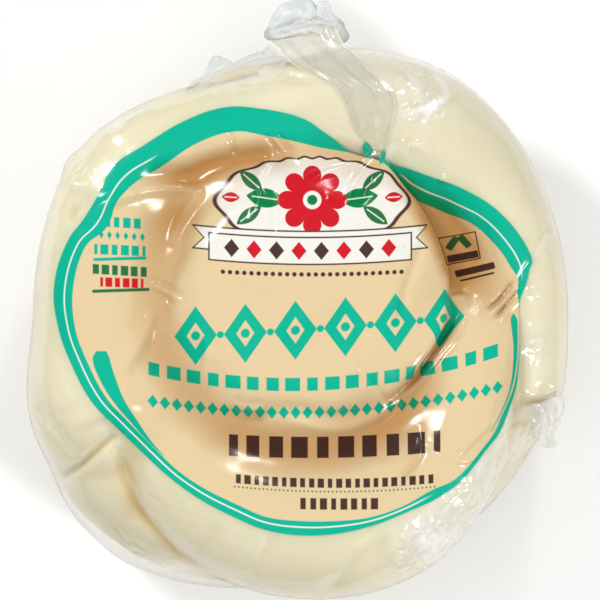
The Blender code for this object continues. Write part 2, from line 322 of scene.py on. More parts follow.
def pillow(places):
    """Starts on a pillow round the ball, the ways in from them, and how far round its rim they are.

    The pillow has flat faces and a half-round rim. Equal angles from its axis give equal
    lengths along its outline, so a skin is as fine on the faces as on the rim.
    """
    share = (1.0 - places[:, 2]) / 2
    places = places.copy()
    places[:, 2] = 1.0 - 2.0 * share**1.25
    even = np.tan(places * math.pi / 4)
    even /= np.linalg.norm(even, axis=1)[:, None]
    rim = BALL_HEIGHT / 2 + 2.0
    flat = BALL_REACH - rim
    outline = 2 * flat + math.pi * rim
    away = np.hypot(even[:, 0], even[:, 1])
    side = np.column_stack([even[:, 0], even[:, 1], np.zeros(len(even))]) / np.maximum(away, 1e-9)[:, None]
    length = np.arccos(np.clip(even[:, 2], -1.0, 1.0)) / math.pi * outline
    bend = np.clip((length - flat) / rim, 0.0, math.pi)
    out = side * np.sin(bend)[:, None]
    out[:, 2] = np.cos(bend)
    reach = np.minimum(np.minimum(length, outline - length), flat)
    starts = side * reach[:, None] + out * rim
    starts[:, 2] += BALL_HEIGHT / 2
    return starts, -out, bend


def depths_to(tree, starts, ways):
    """How far each start is from the tree's surface, along its way in."""
    starts = starts + np.array([0.0013, 0.0017, 0.0011])
    depths = [tree.ray_cast(Vector(start), Vector(way))[3] for start, way in zip(starts, ways)]
    return np.array([BALL_HEIGHT / 2 if depth is None else depth for depth in depths])


def draw_tight(depths, solid, ends, rounds):
    """How deep a taut film lies at each point: it spans the hollows and is never deeper than solid."""
    first, second = ends[:, 0], ends[:, 1]
    count = np.bincount(first, minlength=len(depths)) + np.bincount(second, minlength=len(depths))
    for _ in range(rounds):
        total = np.bincount(first, depths[second], len(depths))
        total += np.bincount(second, depths[first], len(depths))
        depths = np.minimum(solid, 0.5 * depths + 0.5 * total / count)
    return depths


def on_face(points):
    """The places on the printed face that are straight above or below the points."""
    across = points[:, 0] / FACE_UNIT + FACE_MIDDLE[0]
    down = FACE_MIDDLE[1] - points[:, 1] / FACE_UNIT
    return np.column_stack([across, down])


def bell(distance, width):
    """1 at no distance, and less and less beyond the width."""
    return np.exp(-((distance / width) ** 2))


def away_from(places, across, down):
    """How far the places are from a place on the face."""
    return np.hypot(places[:, 0] - across, places[:, 1] - down)


def facing_up(bend):
    """1 on the flat top of the pillow, going to nought at its rim."""
    return np.clip((math.pi / 2 - bend) / 0.5, 0.0, 1.0)


def close_to(places, line, reach):
    """Which of the places are in the line's box, made wider all round by reach."""
    line = np.array(line, float)
    low, high = line.min(axis=0) - reach, line.max(axis=0) + reach
    return np.nonzero(np.all((places >= low) & (places <= high), axis=1))[0]


def near_line(places, line):
    """For each place: its distance from the line, its side, how far along it is, and the line's way."""
    best = np.full(len(places), 1e9)
    side = np.zeros(len(places))
    share = np.zeros(len(places))
    forward = np.zeros((len(places), 2))
    line = np.array(line, float)
    lengths = np.hypot(*(line[1:] - line[:-1]).T)
    total, run = lengths.sum(), 0.0
    for start, end, length in zip(line[:-1], line[1:], lengths):
        ahead = (end - start) / length
        from_start = places - start
        along = np.clip(from_start @ ahead, 0.0, length)
        apart = from_start - along[:, None] * ahead
        distance = np.hypot(apart[:, 0], apart[:, 1])
        closer = distance < best
        best = np.where(closer, distance, best)
        cross = ahead[0] * from_start[:, 1] - ahead[1] * from_start[:, 0]
        side = np.where(closer, np.sign(cross), side)
        share = np.where(closer, (run + along) / total, share)
        forward[closer] = ahead
        run += length
    return best, side, share, forward


def smooth_line(line, steps=6):
    """The line with its corners rounded off."""
    count = (len(line) - 1) * steps
    return [smooth_between(line, step / count) for step in range(count + 1)]


def near_stroke(places, line, reach):
    """The numbers of the places near a line with its corners rounded, then near_line for them."""
    line = smooth_line(line)
    here = close_to(places, line, reach)
    return here, *near_line(places[here], line)


def tapered(share, steep):
    """Nought at both ends of a line and 1 between them."""
    return np.clip(np.minimum(share, 1.0 - share) * steep, 0.0, 1.0)


def arched(share):
    """Nought at both ends of a line, rising in a half wave to 1 in the middle."""
    return np.sin(np.clip(share, 0.0, 1.0) * math.pi)


def high_side(distance, side, sharp):
    """1 on the high side of a step and nought on the low one."""
    return 0.5 + 0.5 * np.tanh(side * distance / sharp)


# Relief of the film over the face. Heights are in millimetres, and a height below nought is a crease.
# Widths are in face units.
# (height, width, line)
FOLDS = [
    (
        0.85, 6.0,
        [(84, 226), (104, 210), (119, 202), (153, 191), (182, 190), (197, 195), (189, 209), (180, 226), (172, 247)],
    ),
    (-1.7, 13.0, [(134, 190), (160, 178), (191, 176), (216, 166), (262, 158), (300, 160)]),
    (1.0, 8.0, [(156, 302), (150, 325), (143, 342), (133, 359), (124, 377)]),
    (-0.55, 7.0, [(192, 240), (176, 272), (168, 300), (163, 330)]),
    (0.7, 5.0, [(160, 112), (147, 115), (134, 122), (126, 134), (115, 138), (103, 137), (92, 144)]),
    (0.8, 6.0, [(80, 146), (72, 160), (70, 176), (78, 188), (88, 186)]),
    (-0.9, 8.0, [(70, 222), (80, 206), (92, 190)]),
    (0.6, 2.8, [(180, 101), (201, 84), (222, 77), (241, 70), (257, 70), (278, 72), (300, 76), (330, 80)]),
    (-0.8, 3.0, [(180, 105), (201, 89), (222, 82), (241, 76), (257, 75), (278, 77), (300, 81), (330, 86)]),
    (-0.7, 4.4, [(36, 404), (50, 419), (62, 430), (69, 442), (84, 452)]),
    (-1.5, 5.0, [(50, 484), (77, 467), (96, 451), (112, 437), (126, 429)]),
    (-0.9, 5.0, [(118, 452), (124, 474), (134, 494), (150, 518), (170, 540), (202, 564), (240, 582)]),
    (-0.45, 5.0, [(218, 520), (211, 538), (199, 552)]), (-0.5, 6.0, [(273, 526), (267, 548), (258, 568), (246, 577)]),
    (-0.7, 8.0, [(319, 588), (348, 568), (373, 546), (384, 531)]),
    (-1.0, 5.0, [(458, 300), (450, 322), (436, 344), (422, 361), (412, 377), (398, 388), (384, 402)]),
    (0.8, 5.0, [(464, 318), (452, 336), (438, 352), (426, 369), (414, 384), (398, 398)]),
    (0.7, 6.0, [(286, 419), (304, 423), (324, 427), (348, 426), (370, 418), (388, 406), (398, 396)]),
    (-1.0, 8.0, [(226, 408), (250, 416), (274, 409), (300, 408), (330, 412), (354, 408), (376, 396)]),
    (-0.5, 4.0, [(418, 420), (419, 445), (414, 459), (403, 471), (393, 483), (380, 492)]),
    (-0.6, 5.0, [(424, 238), (414, 262), (404, 288), (398, 312), (392, 330)]),
    (-0.35, 3.0, [(450, 457), (436, 448), (422, 441)]), (0.5, 3.0, [(450, 457), (462, 446), (474, 434), (488, 421)]),
    (0.4, 3.0, [(450, 457), (464, 458), (478, 452)]), (-0.7, 5.0, [(444, 290), (452, 292), (464, 290)]),
    (0.45, 2.8, [(446, 299), (454, 296), (466, 297)]),
    (-1.0, 2.8, [(512, 279), (507, 287), (501, 295), (494, 303), (484, 309)]),
    (0.8, 2.6, [(516, 281), (510, 290), (503, 299), (495, 307), (486, 313)]),
    (-0.9, 2.8, [(516, 290), (509, 298), (504, 304), (499, 311), (492, 318)]),
    (0.7, 2.6, [(517, 297), (508, 307), (501, 315), (496, 322)]),
    (-0.5, 3.0, [(530, 261), (524, 268), (519, 277), (517, 288)]), (0.5, 2.8, [(535, 255), (545, 240), (548, 228)]),
    (-0.35, 2.6, [(153, 278), (170, 286), (188, 298)]), (0.35, 2.4, [(150, 283), (168, 291), (184, 301)]),
    (-0.3, 2.4, [(152, 290), (166, 297), (178, 306)]), (-0.6, 3.0, [(230, 134), (234, 146), (237, 158)]),
    (-0.5, 2.4, [(266, 138), (273, 146), (280, 157)]), (0.4, 2.2, [(272, 137), (278, 145), (286, 156)]),
    (-0.4, 2.2, [(280, 137), (285, 145), (292, 154)]),
    (0.9, 3.0, [(386, 119), (407, 117), (422, 112), (436, 104), (450, 100)]),
    (-0.7, 3.2, [(392, 126), (410, 124), (424, 120), (442, 110)]),
    (0.7, 2.6, [(426, 130), (424, 121), (430, 115), (438, 111)]), (0.6, 2.0, [(404, 99), (414, 94), (424, 85)]),
    (0.5, 1.8, [(396, 76), (408, 84), (416, 96), (420, 110)]), (0.5, 1.8, [(432, 78), (440, 90), (446, 102)]),
    (-0.4, 3.0, [(404, 104), (412, 112), (410, 124)]), (0.5, 1.8, [(406, 152), (412, 148), (418, 146)]),
    (0.5, 2.0, [(436, 184), (441, 180), (445, 180)]), (-0.5, 4.0, [(404, 62), (412, 74), (420, 78)]),
    (-0.5, 4.0, [(436, 68), (430, 82)]), (-0.5, 6.0, [(400, 150), (412, 136), (424, 122)]),
    (0.4, 2.6, [(408, 151), (420, 146)]), (-0.5, 3.0, [(528, 262), (539, 248), (547, 226)]),
    (0.5, 3.0, [(376, 160), (362, 172), (351, 190), (345, 214)]), (-0.4, 3.0, [(379, 162), (369, 182), (359, 206)]),
    (0.35, 3.0, [(372, 157), (350, 167), (322, 176), (298, 190)]), (0.35, 2.6, [(384, 166), (392, 182), (398, 206)]),
    (0.5, 4.0, [(286, 150), (268, 165), (258, 186), (260, 202), (250, 228)]),
    (-0.4, 4.0, [(270, 190), (276, 214), (272, 238)]), (0.45, 9.0, [(234, 273), (256, 282), (284, 289)]),
    (0.4, 6.0, [(330, 196), (318, 214), (300, 226)]), (-0.3, 8.0, [(300, 296), (292, 330), (296, 360)]),
    (0.35, 5.0, [(352, 330), (350, 350), (356, 372)]), (-0.4, 4.0, [(232, 396), (250, 402), (266, 400)]),
    (-0.35, 3.0, [(268, 404), (262, 414), (254, 420)]), (0.4, 4.0, [(204, 330), (208, 352), (204, 376)]),
    (-0.4, 6.0, [(90, 380), (104, 400), (120, 420)]),
    (0.45, 2.6, [(517, 339), (530, 340), (543, 338), (540, 345), (533, 350), (519, 347)]),
    (0.35, 2.6, [(522, 321), (530, 320)]), (-0.8, 8.0, [(514, 398), (530, 403), (547, 398), (558, 387)]),
    (0.7, 3.4, [(524, 392), (538, 394), (551, 390), (558, 380)]),
    (0.6, 3.0, [(541, 446), (520, 474), (499, 498), (482, 512)]),
    (-0.6, 3.4, [(530, 440), (512, 462), (500, 480), (484, 506), (468, 530), (455, 546)]),
    (0.6, 3.0, [(508, 436), (500, 456), (494, 476), (482, 498)]),
]

# Steps of the film: the side on the right hand along the line, as it is seen from above, is higher
# (drop in mm, how far the high side reaches in face units, sharpness in face units, line)
STEPS = [
    (
        3.4, 22.0, 2.6,
        [
            (372, 150), (382, 159), (388, 171), (397, 183), (406, 194), (415, 206), (424, 220), (433, 238),
            (441, 256), (447, 276), (446, 296),
        ],
    ),
    (1.9, 20.0, 3.6, [(446, 292), (442, 318), (432, 340), (420, 358), (406, 378), (386, 396)]),
]

# How far the high side of a step leans out, in mm, and how much of the print the step hides, in
# face units
STEP_LEAN = 1.1
FOLDED_AWAY = 6.0

# Painted shade along hollows: (how much, width in face units, line)
SHADES = [
    (1.0, 9.0, [(444, 258), (452, 273), (457, 289)]),
    (0.75, 10.0, [(384, 168), (400, 186), (414, 206), (426, 226), (437, 246), (446, 266), (452, 288)]),
    (0.4, 26.0, [(420, 196), (446, 236), (460, 272)]), (0.4, 16.0, [(413, 262), (405, 285), (400, 312), (398, 340)]),
    (0.35, 14.0, [(150, 192), (176, 182), (206, 172), (232, 160), (266, 152), (300, 156)]),
    (0.25, 20.0, [(190, 200), (196, 240), (200, 280)]),
    (0.3, 12.0, [(452, 312), (444, 334), (430, 352), (414, 370), (396, 388)]),
    (0.25, 18.0, [(270, 372), (330, 392), (390, 372), (420, 330)]), (0.3, 12.0, [(420, 444), (410, 464), (394, 480)]),
]

# Patches where the film is crinkled all over: (across, down, reach in face units, height, size in mm)
CRINKLES = [
    (420, 100, 42, 0.42, 3.0), (398, 140, 26, 0.30, 2.2), (440, 80, 36, 0.22, 1.6), (430, 526, 24, 0.34, 1.7),
    (404, 548, 24, 0.28, 1.4), (478, 500, 26, 0.30, 2.0), (535, 430, 30, 0.36, 2.0), (530, 345, 14, 0.10, 1.4),
    (60, 420, 40, 0.24, 2.6), (86, 165, 30, 0.26, 2.4), (130, 560, 44, 0.30, 2.6), (245, 62, 44, 0.26, 2.2),
    (500, 284, 26, 0.12, 1.2),
]

# Where the film is milky, and where it is crumpled finely: (across, down, reach in face units, how much)
MILKY = [
    (415, 92, 50, 0.2), (360, 70, 50, 0.2), (240, 62, 40, 0.25), (545, 425, 32, 0.36), (450, 528, 46, 0.5),
    (540, 340, 34, 0.14), (488, 474, 32, 0.3), (428, 536, 30, 0.2),
]
# White streaks along its tight folds, partly the film's own whitening and partly painted highlights: (how much, width
# in face units, line)
WHITE_FOLDS_AND_GLINTS = [
    (0.7, 3.4, [(398, 120), (424, 112), (450, 100)]), (0.5, 3.0, [(424, 129), (424, 121), (430, 115), (438, 110)]),
    (0.35, 3.6, [(404, 76), (414, 92), (420, 112)]), (0.35, 3.4, [(432, 78), (440, 90), (446, 102)]),
    (0.2, 6.0, [(396, 142), (388, 156), (384, 168)]), (0.4, 7.0, [(128, 561), (160, 568), (196, 569)]),
    (0.4, 9.0, [(56, 486), (88, 530), (126, 566), (170, 588), (210, 596)]),
    (0.35, 5.0, [(164, 110), (134, 120), (100, 138)]), (0.35, 6.0, [(512, 414), (536, 407), (560, 396)]),
    (0.35, 4.0, [(508, 462), (486, 496), (458, 536)]), (0.4, 5.0, [(500, 430), (492, 446), (478, 462), (470, 480)]),
    (0.3, 4.0, [(548, 225), (540, 244), (530, 262)]),
]
CRUMPLED = [
    (432, 526, 26, 1.0), (405, 549, 20, 1.0), (468, 500, 24, 0.8), (535, 425, 26, 0.8), (528, 290, 10, 0.8),
    (531, 343, 12, 0.6), (424, 108, 26, 0.6), (443, 181, 7, 1.0), (546, 392, 14, 0.6), (76, 175, 16, 0.7),
    (130, 562, 40, 0.5), (60, 425, 22, 0.3), (250, 64, 30, 0.4), (412, 148, 8, 0.8),
]
# Where the cheese is painted darker and yellower in a crease, partly its own yellower colour and partly painted
# shade: (how much, width in face units, line)
CREASE_YELLOW_AND_SHADE = [
    (1.0, 7.0, [(511, 399), (530, 403), (552, 399)]), (0.7, 5.0, [(511, 421), (517, 424), (524, 422)]),
    (0.5, 7.0, [(377, 90), (373, 108)]), (0.4, 8.0, [(80, 204), (70, 222)]),
    (0.3, 10.0, [(402, 120), (396, 150), (380, 156)]),
    (0.4, 5.0, [(118, 452), (124, 474), (134, 494), (150, 518), (170, 540), (202, 564), (240, 582)]),
    (0.3, 5.0, [(54, 481), (77, 467), (96, 451), (112, 437), (124, 431)]),
    (0.5, 6.0, [(58, 488), (72, 518), (92, 545), (112, 562)]),
]


def patchy(places, patches):
    """How far each place lies in soft round patches of (across, down, reach, how much)."""
    total = np.zeros(len(places))
    for across, down, reach, amount in patches:
        total += amount * bell(away_from(places, across, down), reach)
    return total


def streaky(places, streaks):
    """How far each place lies in soft streaks of (how much, width, line)."""
    total = np.zeros(len(places))
    for amount, width, line in streaks:
        here, distance, _, share, _ = near_stroke(places, line, 2.5 * width)
        total[here] += amount * tapered(share, 4.0) * bell(distance, width)
    return total


def raised_by_folds(places):
    """How far the folds and steps lift the film at each place on the face, in mm."""
    lift = np.zeros(len(places))
    for height, width, line in FOLDS:
        here, distance, _, share, _ = near_stroke(places, line, 2.5 * width)
        lift[here] += height * tapered(share, 5.0) ** 0.7 * bell(distance, width)
    for drop, reach, sharp, line in STEPS:
        here, distance, side, share, _ = near_stroke(places, line, 2.5 * reach)
        lift[here] += drop * arched(share) ** 0.5 * high_side(distance, side, sharp) * bell(distance, reach)
    return lift


def rough(points, size, seed):
    """Smooth noise between -1 and 1 with lumps of about the size, at each point."""
    offset = Vector((seed * 7.3, seed * -3.1, seed * 5.7))
    return np.array([noise.noise(Vector(point) / size + offset) for point in points])


def leaning_at_steps(places):
    """How far the high side of each step leans out over its low side, in mm to the right and away."""
    lean = np.zeros((len(places), 2))
    for _, _, sharp, line in STEPS:
        here, distance, side, share, forward = near_stroke(places, line, 20.0)
        amount = STEP_LEAN * arched(share) ** 0.5
        amount *= bell(side * distance - 2.0, 6.0) * high_side(distance, side, sharp)
        lean[here] += forward[:, ::-1] * amount[:, None]
    return lean


def shifted_at_steps(places):
    """The places on the print, with some of it folded out of sight where the film steps down."""
    shifted = places.copy()
    for _, reach, sharp, line in STEPS:
        here, distance, side, share, _ = near_stroke(places, line, 2.5 * reach)
        low = 1.0 - high_side(distance, side, sharp)
        shifted[here, 0] += FOLDED_AWAY * arched(share) * low * bell(distance, reach)
    return shifted


def raised_by_crinkles(points, places):
    """How far the crinkled patches lift the film at each point, in mm."""
    lift = np.zeros(len(points))
    for index, (across, down, reach, height, size) in enumerate(CRINKLES):
        away = away_from(places, across, down)
        here = np.nonzero(away < 2.2 * reach)[0]
        creased = 1.0 - 2.0 * np.abs(rough(points[here], size, 11 + index))
        lift[here] += height * bell(away[here], reach) * creased
    return lift


def make_film(rope_tree):
    """The tight film: its mesh, its points, and the places of its print."""
    coarse = cube_skin("film_guide", CHEESE_CUTS, CHEESE_ROWS)
    starts, ways, _ = pillow(points_of(coarse))
    ends = ends_of(coarse)
    solid = depths_to(rope_tree, starts, ways)
    spacing = 2 * 40.0 / CHEESE_CUTS
    taut = draw_tight(solid, solid, ends, round(2.2 * (FILM_EASE / spacing) ** 2))
    taut = draw_tight(taut, np.inf, ends, round(0.06 * (FILM_EASE / spacing) ** 2))
    wide = draw_tight(taut, np.inf, ends, round(5.0 * (FILM_EASE / spacing) ** 2))
    taut_tree = tree_of(coarse, starts + ways * taut[:, None])
    wide_tree = tree_of(coarse, starts + ways * wide[:, None])
    bpy.data.meshes.remove(coarse)

    data = cube_skin("film_tight", FILM_CUTS, FILM_ROWS, True)
    starts, ways, bend = pillow(points_of(data))
    ends = ends_of(data)
    taut = draw_tight(depths_to(taut_tree, starts, ways), np.inf, ends, 10)
    wide = depths_to(wide_tree, starts, ways)
    points = starts + ways * taut[:, None]
    places = on_face(points)
    top = facing_up(bend)
    lift = (raised_by_folds(places) + raised_by_crinkles(points, places)) * top
    lift += sum(height * rough(points, size, seed) for height, size, seed in FILM_WAVES)
    # Painted shade: darker in hollows below the widely eased film and in creases, lighter on ridges, and along the
    # painted shade lines
    painted_hollow_shade = (taut - wide - 0.8 * np.minimum(lift, 0.0) - 0.35 * np.maximum(lift, 0.0)) / FILM_DEEPEST
    painted_hollow_shade += streaky(places, SHADES)
    keep_share(data, "painted_hollow_shade", painted_hollow_shade * top)
    # The film's milky patches, with white streaks along tight folds that are partly painted highlights
    keep_share(data, "milky_and_painted_glints", (patchy(places, MILKY) + streaky(places, WHITE_FOLDS_AND_GLINTS)) * top)
    keep_share(data, "crumpled", patchy(places, CRUMPLED) * top)
    points -= ways * lift[:, None]
    points[:, :2] += leaning_at_steps(places) * top[:, None]
    points[:, 2] = np.maximum(points[:, 2], -TO_PART[2])
    beyond = BALL_HEIGHT / 2 * 2.2 * (1.0 - np.sin(np.maximum(bend, math.pi / 2)))
    away = np.hypot(points[:, 0], points[:, 1])
    spread = points.copy()
    spread[:, :2] *= (1.0 + beyond / np.maximum(away, 1.0))[:, None]
    return data, points, shifted_at_steps(on_face(spread))


def put_points(data, points):
    """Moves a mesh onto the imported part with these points, in mm."""
    data.vertices.foreach_set("co", ((points + TO_PART) * MM).ravel())
    data.update()


def keep_share(data, name, shares):
    """Stores a number from nought to one at each point of a mesh."""
    layer = data.attributes.new(name, "FLOAT", "POINT")
    layer.data.foreach_set("value", np.clip(shares, 0.0, 1.0).astype(np.float32))


def add_face_map(data, places):
    """A UV map that holds each point's place on the printed face, as a share of its size."""
    layer = data.uv_layers.new(name="face")
    corners = np.empty(len(data.loops), np.int32)
    data.loops.foreach_get("vertex_index", corners)
    shares = places[corners] / FACE_SIZE
    shares[:, 1] = 1.0 - shares[:, 1]
    layer.data.foreach_set("uv", shares.ravel())


def add_piece(name, data, material):
    """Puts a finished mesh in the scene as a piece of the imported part."""
    data.materials.append(material)
    data.shade_smooth()
    piece = in_scene(name, data)
    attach(piece, "root")
    return piece


class Value:
    """A shader socket that arithmetic works on: each operator adds a Math node."""

    def __init__(self, look, socket):
        self.look = look
        self.socket = socket

    def math(self, operation, *others):
        """One Math node on this value and the others."""
        inputs = {index: value for index, value in enumerate((self, *others))}
        return self.look.add("ShaderNodeMath", {"operation": operation}, inputs)

    def __add__(self, other):
        return self.math("ADD", other)

    __radd__ = __add__

    def __sub__(self, other):
        return self.math("SUBTRACT", other)

    def __rsub__(self, other):
        return self.look.number(other, "SUBTRACT", self)

    def __mul__(self, other):
        return self.math("MULTIPLY", other)

    __rmul__ = __mul__

    def __truediv__(self, other):
        return self.math("DIVIDE", other)

    def __pow__(self, other):
        return self.math("POWER", other)

    def __abs__(self):
        return self.math("ABSOLUTE")

    def least(self, other):
        return self.math("MINIMUM", other)

    def most(self, other):
        return self.math("MAXIMUM", other)

    def within(self):
        """This value, kept from 0 to 1."""
        return self.least(1.0).most(0.0)


class Look:
    """A material that is built node by node."""

    def __init__(self, name):
        self.material = bpy.data.materials.new(name)
        self.material.use_nodes = True
        self.tree = self.material.node_tree
        self.tree.nodes.clear()

    def add(self, kind, settings=None, inputs=None, output=0):
        """One node: its settings first, then values or links for its sockets."""
        node = self.tree.nodes.new(kind)
        for name, value in (settings or {}).items():
            if name == "curve":
                self.shape_curve(node, value)
            else:
                setattr(node, name, value)
        for name, value in (inputs or {}).items():
            socket = node.inputs[name]
            if isinstance(value, Value):
                self.tree.links.new(value.socket, socket)
            else:
                socket.default_value = value
        return Value(self, node.outputs[output])

    def shape_curve(self, node, points):
        """Gives a Float Curve node its points."""
        curve = node.mapping.curves[0]
        while len(curve.points) < len(points):
            curve.points.new(0.5, 0.5)
        for point, (x, y) in zip(curve.points, points):
            point.location = (x, y)
        node.mapping.update()

    def number(self, value, operation, other):
        """A plain number on the left of an operator."""
        return self.add("ShaderNodeMath", {"operation": operation}, {0: value, 1: other})

    def place(self):
        """Where a point is in the part."""
        return self.add("ShaderNodeTexCoord", output=3)

    def map_parts(self):
        """The two parts of a piece's own map."""
        return self.split(self.add("ShaderNodeUVMap", {"uv_map": "face"}))[:2]

    def curve(self, value, points):
        """value through a smooth curve of points, all from 0 to 1."""
        return self.add("ShaderNodeFloatCurve", {"curve": points}, {"Value": value})

    def blend(self, factor, first, second):
        """A colour between two colours."""
        socket = {True: lambda value: value, False: lambda value: (*value, 1.0)}
        first = socket[isinstance(first, Value)](first)
        second = socket[isinstance(second, Value)](second)
        return self.add("ShaderNodeMix", {"data_type": "RGBA"}, {"Factor": factor, 6: first, 7: second}, output=2)

    def tint(self, factor, colour, by):
        """A colour, tinted with another."""
        settings = {"data_type": "RGBA", "blend_type": "MULTIPLY"}
        return self.add("ShaderNodeMix", settings, {"Factor": factor, 6: colour, 7: (*by, 1.0)}, output=2)

    def stored(self, name):
        """A number stored on the mesh."""
        return self.add("ShaderNodeAttribute", {"attribute_name": name}, output=2)

    def split(self, vector):
        """The three parts of a vector."""
        node = self.add("ShaderNodeSeparateXYZ", inputs={"Vector": vector}).socket.node
        return [Value(self, output) for output in node.outputs]

    def lumps(self, vector, scale, detail=2.0, roughness=0.5):
        """Noise from 0 to 1."""
        sizes = {"Vector": vector, "Scale": scale, "Detail": detail, "Roughness": roughness}
        return self.add("ShaderNodeTexNoise", {"noise_dimensions": "3D"}, sizes)

    def bump(self, height, distance, strength=1.0):
        """A normal that follows a height."""
        return self.add("ShaderNodeBump", inputs={"Height": height, "Distance": distance, "Strength": strength})

    def coat(self, **inputs):
        """A Principled shader; an underscore in a name stands for a space."""
        named = {name.replace("_", " "): value for name, value in inputs.items()}
        return self.add("ShaderNodeBsdfPrincipled", inputs=named)

    def glass(self, red, green, blue):
        """A shader that lets the share of each colour straight through."""
        return self.add("ShaderNodeBsdfTransparent", inputs={"Color": (red, green, blue, 1.0)})

    def over(self, factor, under, over):
        """One shader over another."""
        return self.add("ShaderNodeMixShader", inputs={"Fac": factor, 1: under, 2: over})

    def done(self, shader):
        """Ends the material in this shader."""
        output = self.tree.nodes.new("ShaderNodeOutputMaterial")
        self.tree.links.new(shader.socket, output.inputs["Surface"])
        return self.material


def linear(red, green, blue):
    """A colour given in the usual 0 to 255, as the shader wants it."""
    parts = [value / 255.0 for value in (red, green, blue)]
    return tuple(part / 12.92 if part <= 0.04045 else ((part + 0.055) / 1.055) ** 2.4 for part in parts)


TEAL = linear(0, 174, 143)
PEACH = linear(218, 195, 153)
BROWN = linear(72, 50, 44)
LEAF_GREEN = linear(0, 124, 66)
DEEP_GREEN = linear(38, 112, 64)
RED = linear(200, 22, 36)
PAPER = linear(229, 226, 218)
CREAM = linear(238, 231, 204)
BUTTER = linear(234, 220, 176)

# The green ring of the print, about its middle: (direction in degrees, outer reach, inner reach) in
# face units
RING = [
    (0, 217.0, 216.6), (6, 217.9, 217.2), (8, 221.0, 217.2), (10, 225.8, 217.8), (12, 230.0, 220.6),
    (14, 233.6, 218.6), (15.8, 238.6, 215.8), (18.5, 237.8, 213.6), (22, 235.0, 209.5), (30, 226.0, 199.0),
    (40, 210.0, 180.5), (50, 194.5, 172.0), (55, 189.5, 175.5), (59, 185.5, 178.5), (62, 184.5, 180.0),
    (64.5, 181.0, 180.4), (70, 178.2, 177.8), (74, 178.4, 177.6), (77, 182.5, 177.0), (80, 187.5, 176.6),
    (84, 194.0, 177.0), (87, 200.5, 178.5), (90, 205.0, 180.5), (100, 217.0, 190.0), (110, 228.5, 203.0),
    (120, 232.0, 206.5), (130, 234.5, 207.5), (140, 241.5, 215.5), (146, 237.0, 217.0), (152, 236.5, 213.0),
    (160, 243.5, 225.0), (170, 245.5, 226.0), (180, 238.0, 221.0), (190, 227.0, 211.0), (200, 217.0, 202.5),
    (210, 204.5, 192.0), (220, 198.0, 186.5), (230, 196.0, 185.5), (240, 196.0, 184.5), (250, 197.5, 185.0),
    (260, 202.0, 189.5), (270, 204.5, 190.5), (280, 206.0, 193.5), (290, 207.5, 199.0), (300, 210.0, 203.0),
    (308, 215.5, 205.5), (316, 219.5, 214.0), (326, 220.0, 216.0), (332, 223.2, 218.4), (336.5, 222.8, 217.6),
    (341, 222.2, 219.0), (345, 222.0, 219.4), (350, 219.6, 218.2), (355, 217.9, 217.2), (360, 217.0, 216.6),
]
RING_SCALE = 300.0

# How soft the printed edges are, and how far down the print's lower half begins, in face units
PRINT_SOFTNESS = 0.8
HALF_WAY = 300.0

# The fine light line in the ring: how far across the ring it lies, and its half width in face units
LINE_ACROSS = 0.43
LINE_HALF_WIDTH = 0.7
# Where round the ring the line shows
LINE_SHOWN = [
    (0.0, 0.0), (0.03, 0.0), (0.045, 1.0), (0.15, 1.0), (0.155, 0.0), (0.36, 0.0), (0.368, 1.0), (0.6, 1.0),
    (0.84, 1.0), (0.86, 0.0), (1.0, 0.0),
]

# The brush strokes inside the ring: middles across, half widths as shares of the widest, top, bottom
STROKE_WIDEST = 20.0
BRUSH_STROKES = [
    (
        [(0.0, 105), (0.08, 105), (0.27, 111.5), (0.47, 122), (0.66, 136), (0.85, 151), (1.0, 166)],
        [(0.0, 0.22), (0.03, 0.33), (0.08, 0.42), (0.27, 0.4), (0.47, 0.3), (0.66, 0.2), (0.85, 0.1), (1.0, 0.03)],
        350.0,
        453.0,
    ),
    (
        [(0.0, 510.9), (0.14, 512.2), (0.28, 513), (0.42, 512.2), (0.6, 509), (0.74, 503.6), (1.0, 488)],
        [
            (0.0, 0.04), (0.02, 0.11), (0.05, 0.17), (0.14, 0.15), (0.28, 0.11), (0.42, 0.09), (0.6, 0.06),
            (0.74, 0.045), (1.0, 0.02),
        ],
        314.0,
        430.0,
    ),
]

# Rows: (middle across, middle down, half length, half height, pitch, fill, (sag, slope), kind, colour)
ROWS = [
    (320, 328, 147, 29, 49, 0.86, (0.0001, 0.07), "lozenges", TEAL),
    (320, 328, 147, 13, 49, 0.36, (0.0001, 0.07), "lozenges", PEACH),
    (320, 328, 147, 4.5, 49, 0.5, (0.0001, 0.07), "dots", TEAL),
    (320, 328, 105, 3.5, 49, 0.5, (0.0001, 0.07), "links", TEAL),
    (322, 382, 176, 6.5, 19.5, 0.66, (0.0008, 0.05), "bars", TEAL),
    (325, 410, 175.5, 6.5, 11.7, 0.9, (0.0006, 0.04), "lozenges", TEAL),
    (334, 445, 104, 10.5, 23.0, 0.62, (0.0004, 0.02), "bars", BROWN),
    (334, 480, 100, 4.4, 9.0, 0.6, (0.0005, 0.0), "bars", BROWN),
    (334, 488, 100, 0.9, 4.0, 0.5, (0.0005, 0.0), "dots", LEAF_GREEN),
    (338, 500, 41, 5.5, 10.0, 0.6, (0.0003, 0.0), "bars", BROWN),
    (125, 224, 22, 5.0, 10.0, 0.66, (0.0, -0.06), "bars", TEAL),
    (125, 237, 24, 4.2, 8.0, 0.62, (0.0, -0.06), "lozenges", TEAL),
    (123, 251, 25, 5.0, 10.0, 0.7, (0.0, -0.04), "bars", TEAL),
    (123, 271, 28, 4.8, 9.3, 0.7, (0.0, -0.06), "bars", DEEP_GREEN),
    (125, 283, 21, 4.6, 8.4, 0.7, (0.0, -0.04), "bars", RED),
    (312, 275, 92, 2.2, 7.0, 0.5, (0.00035, 0.0), "dots", BROWN),
]

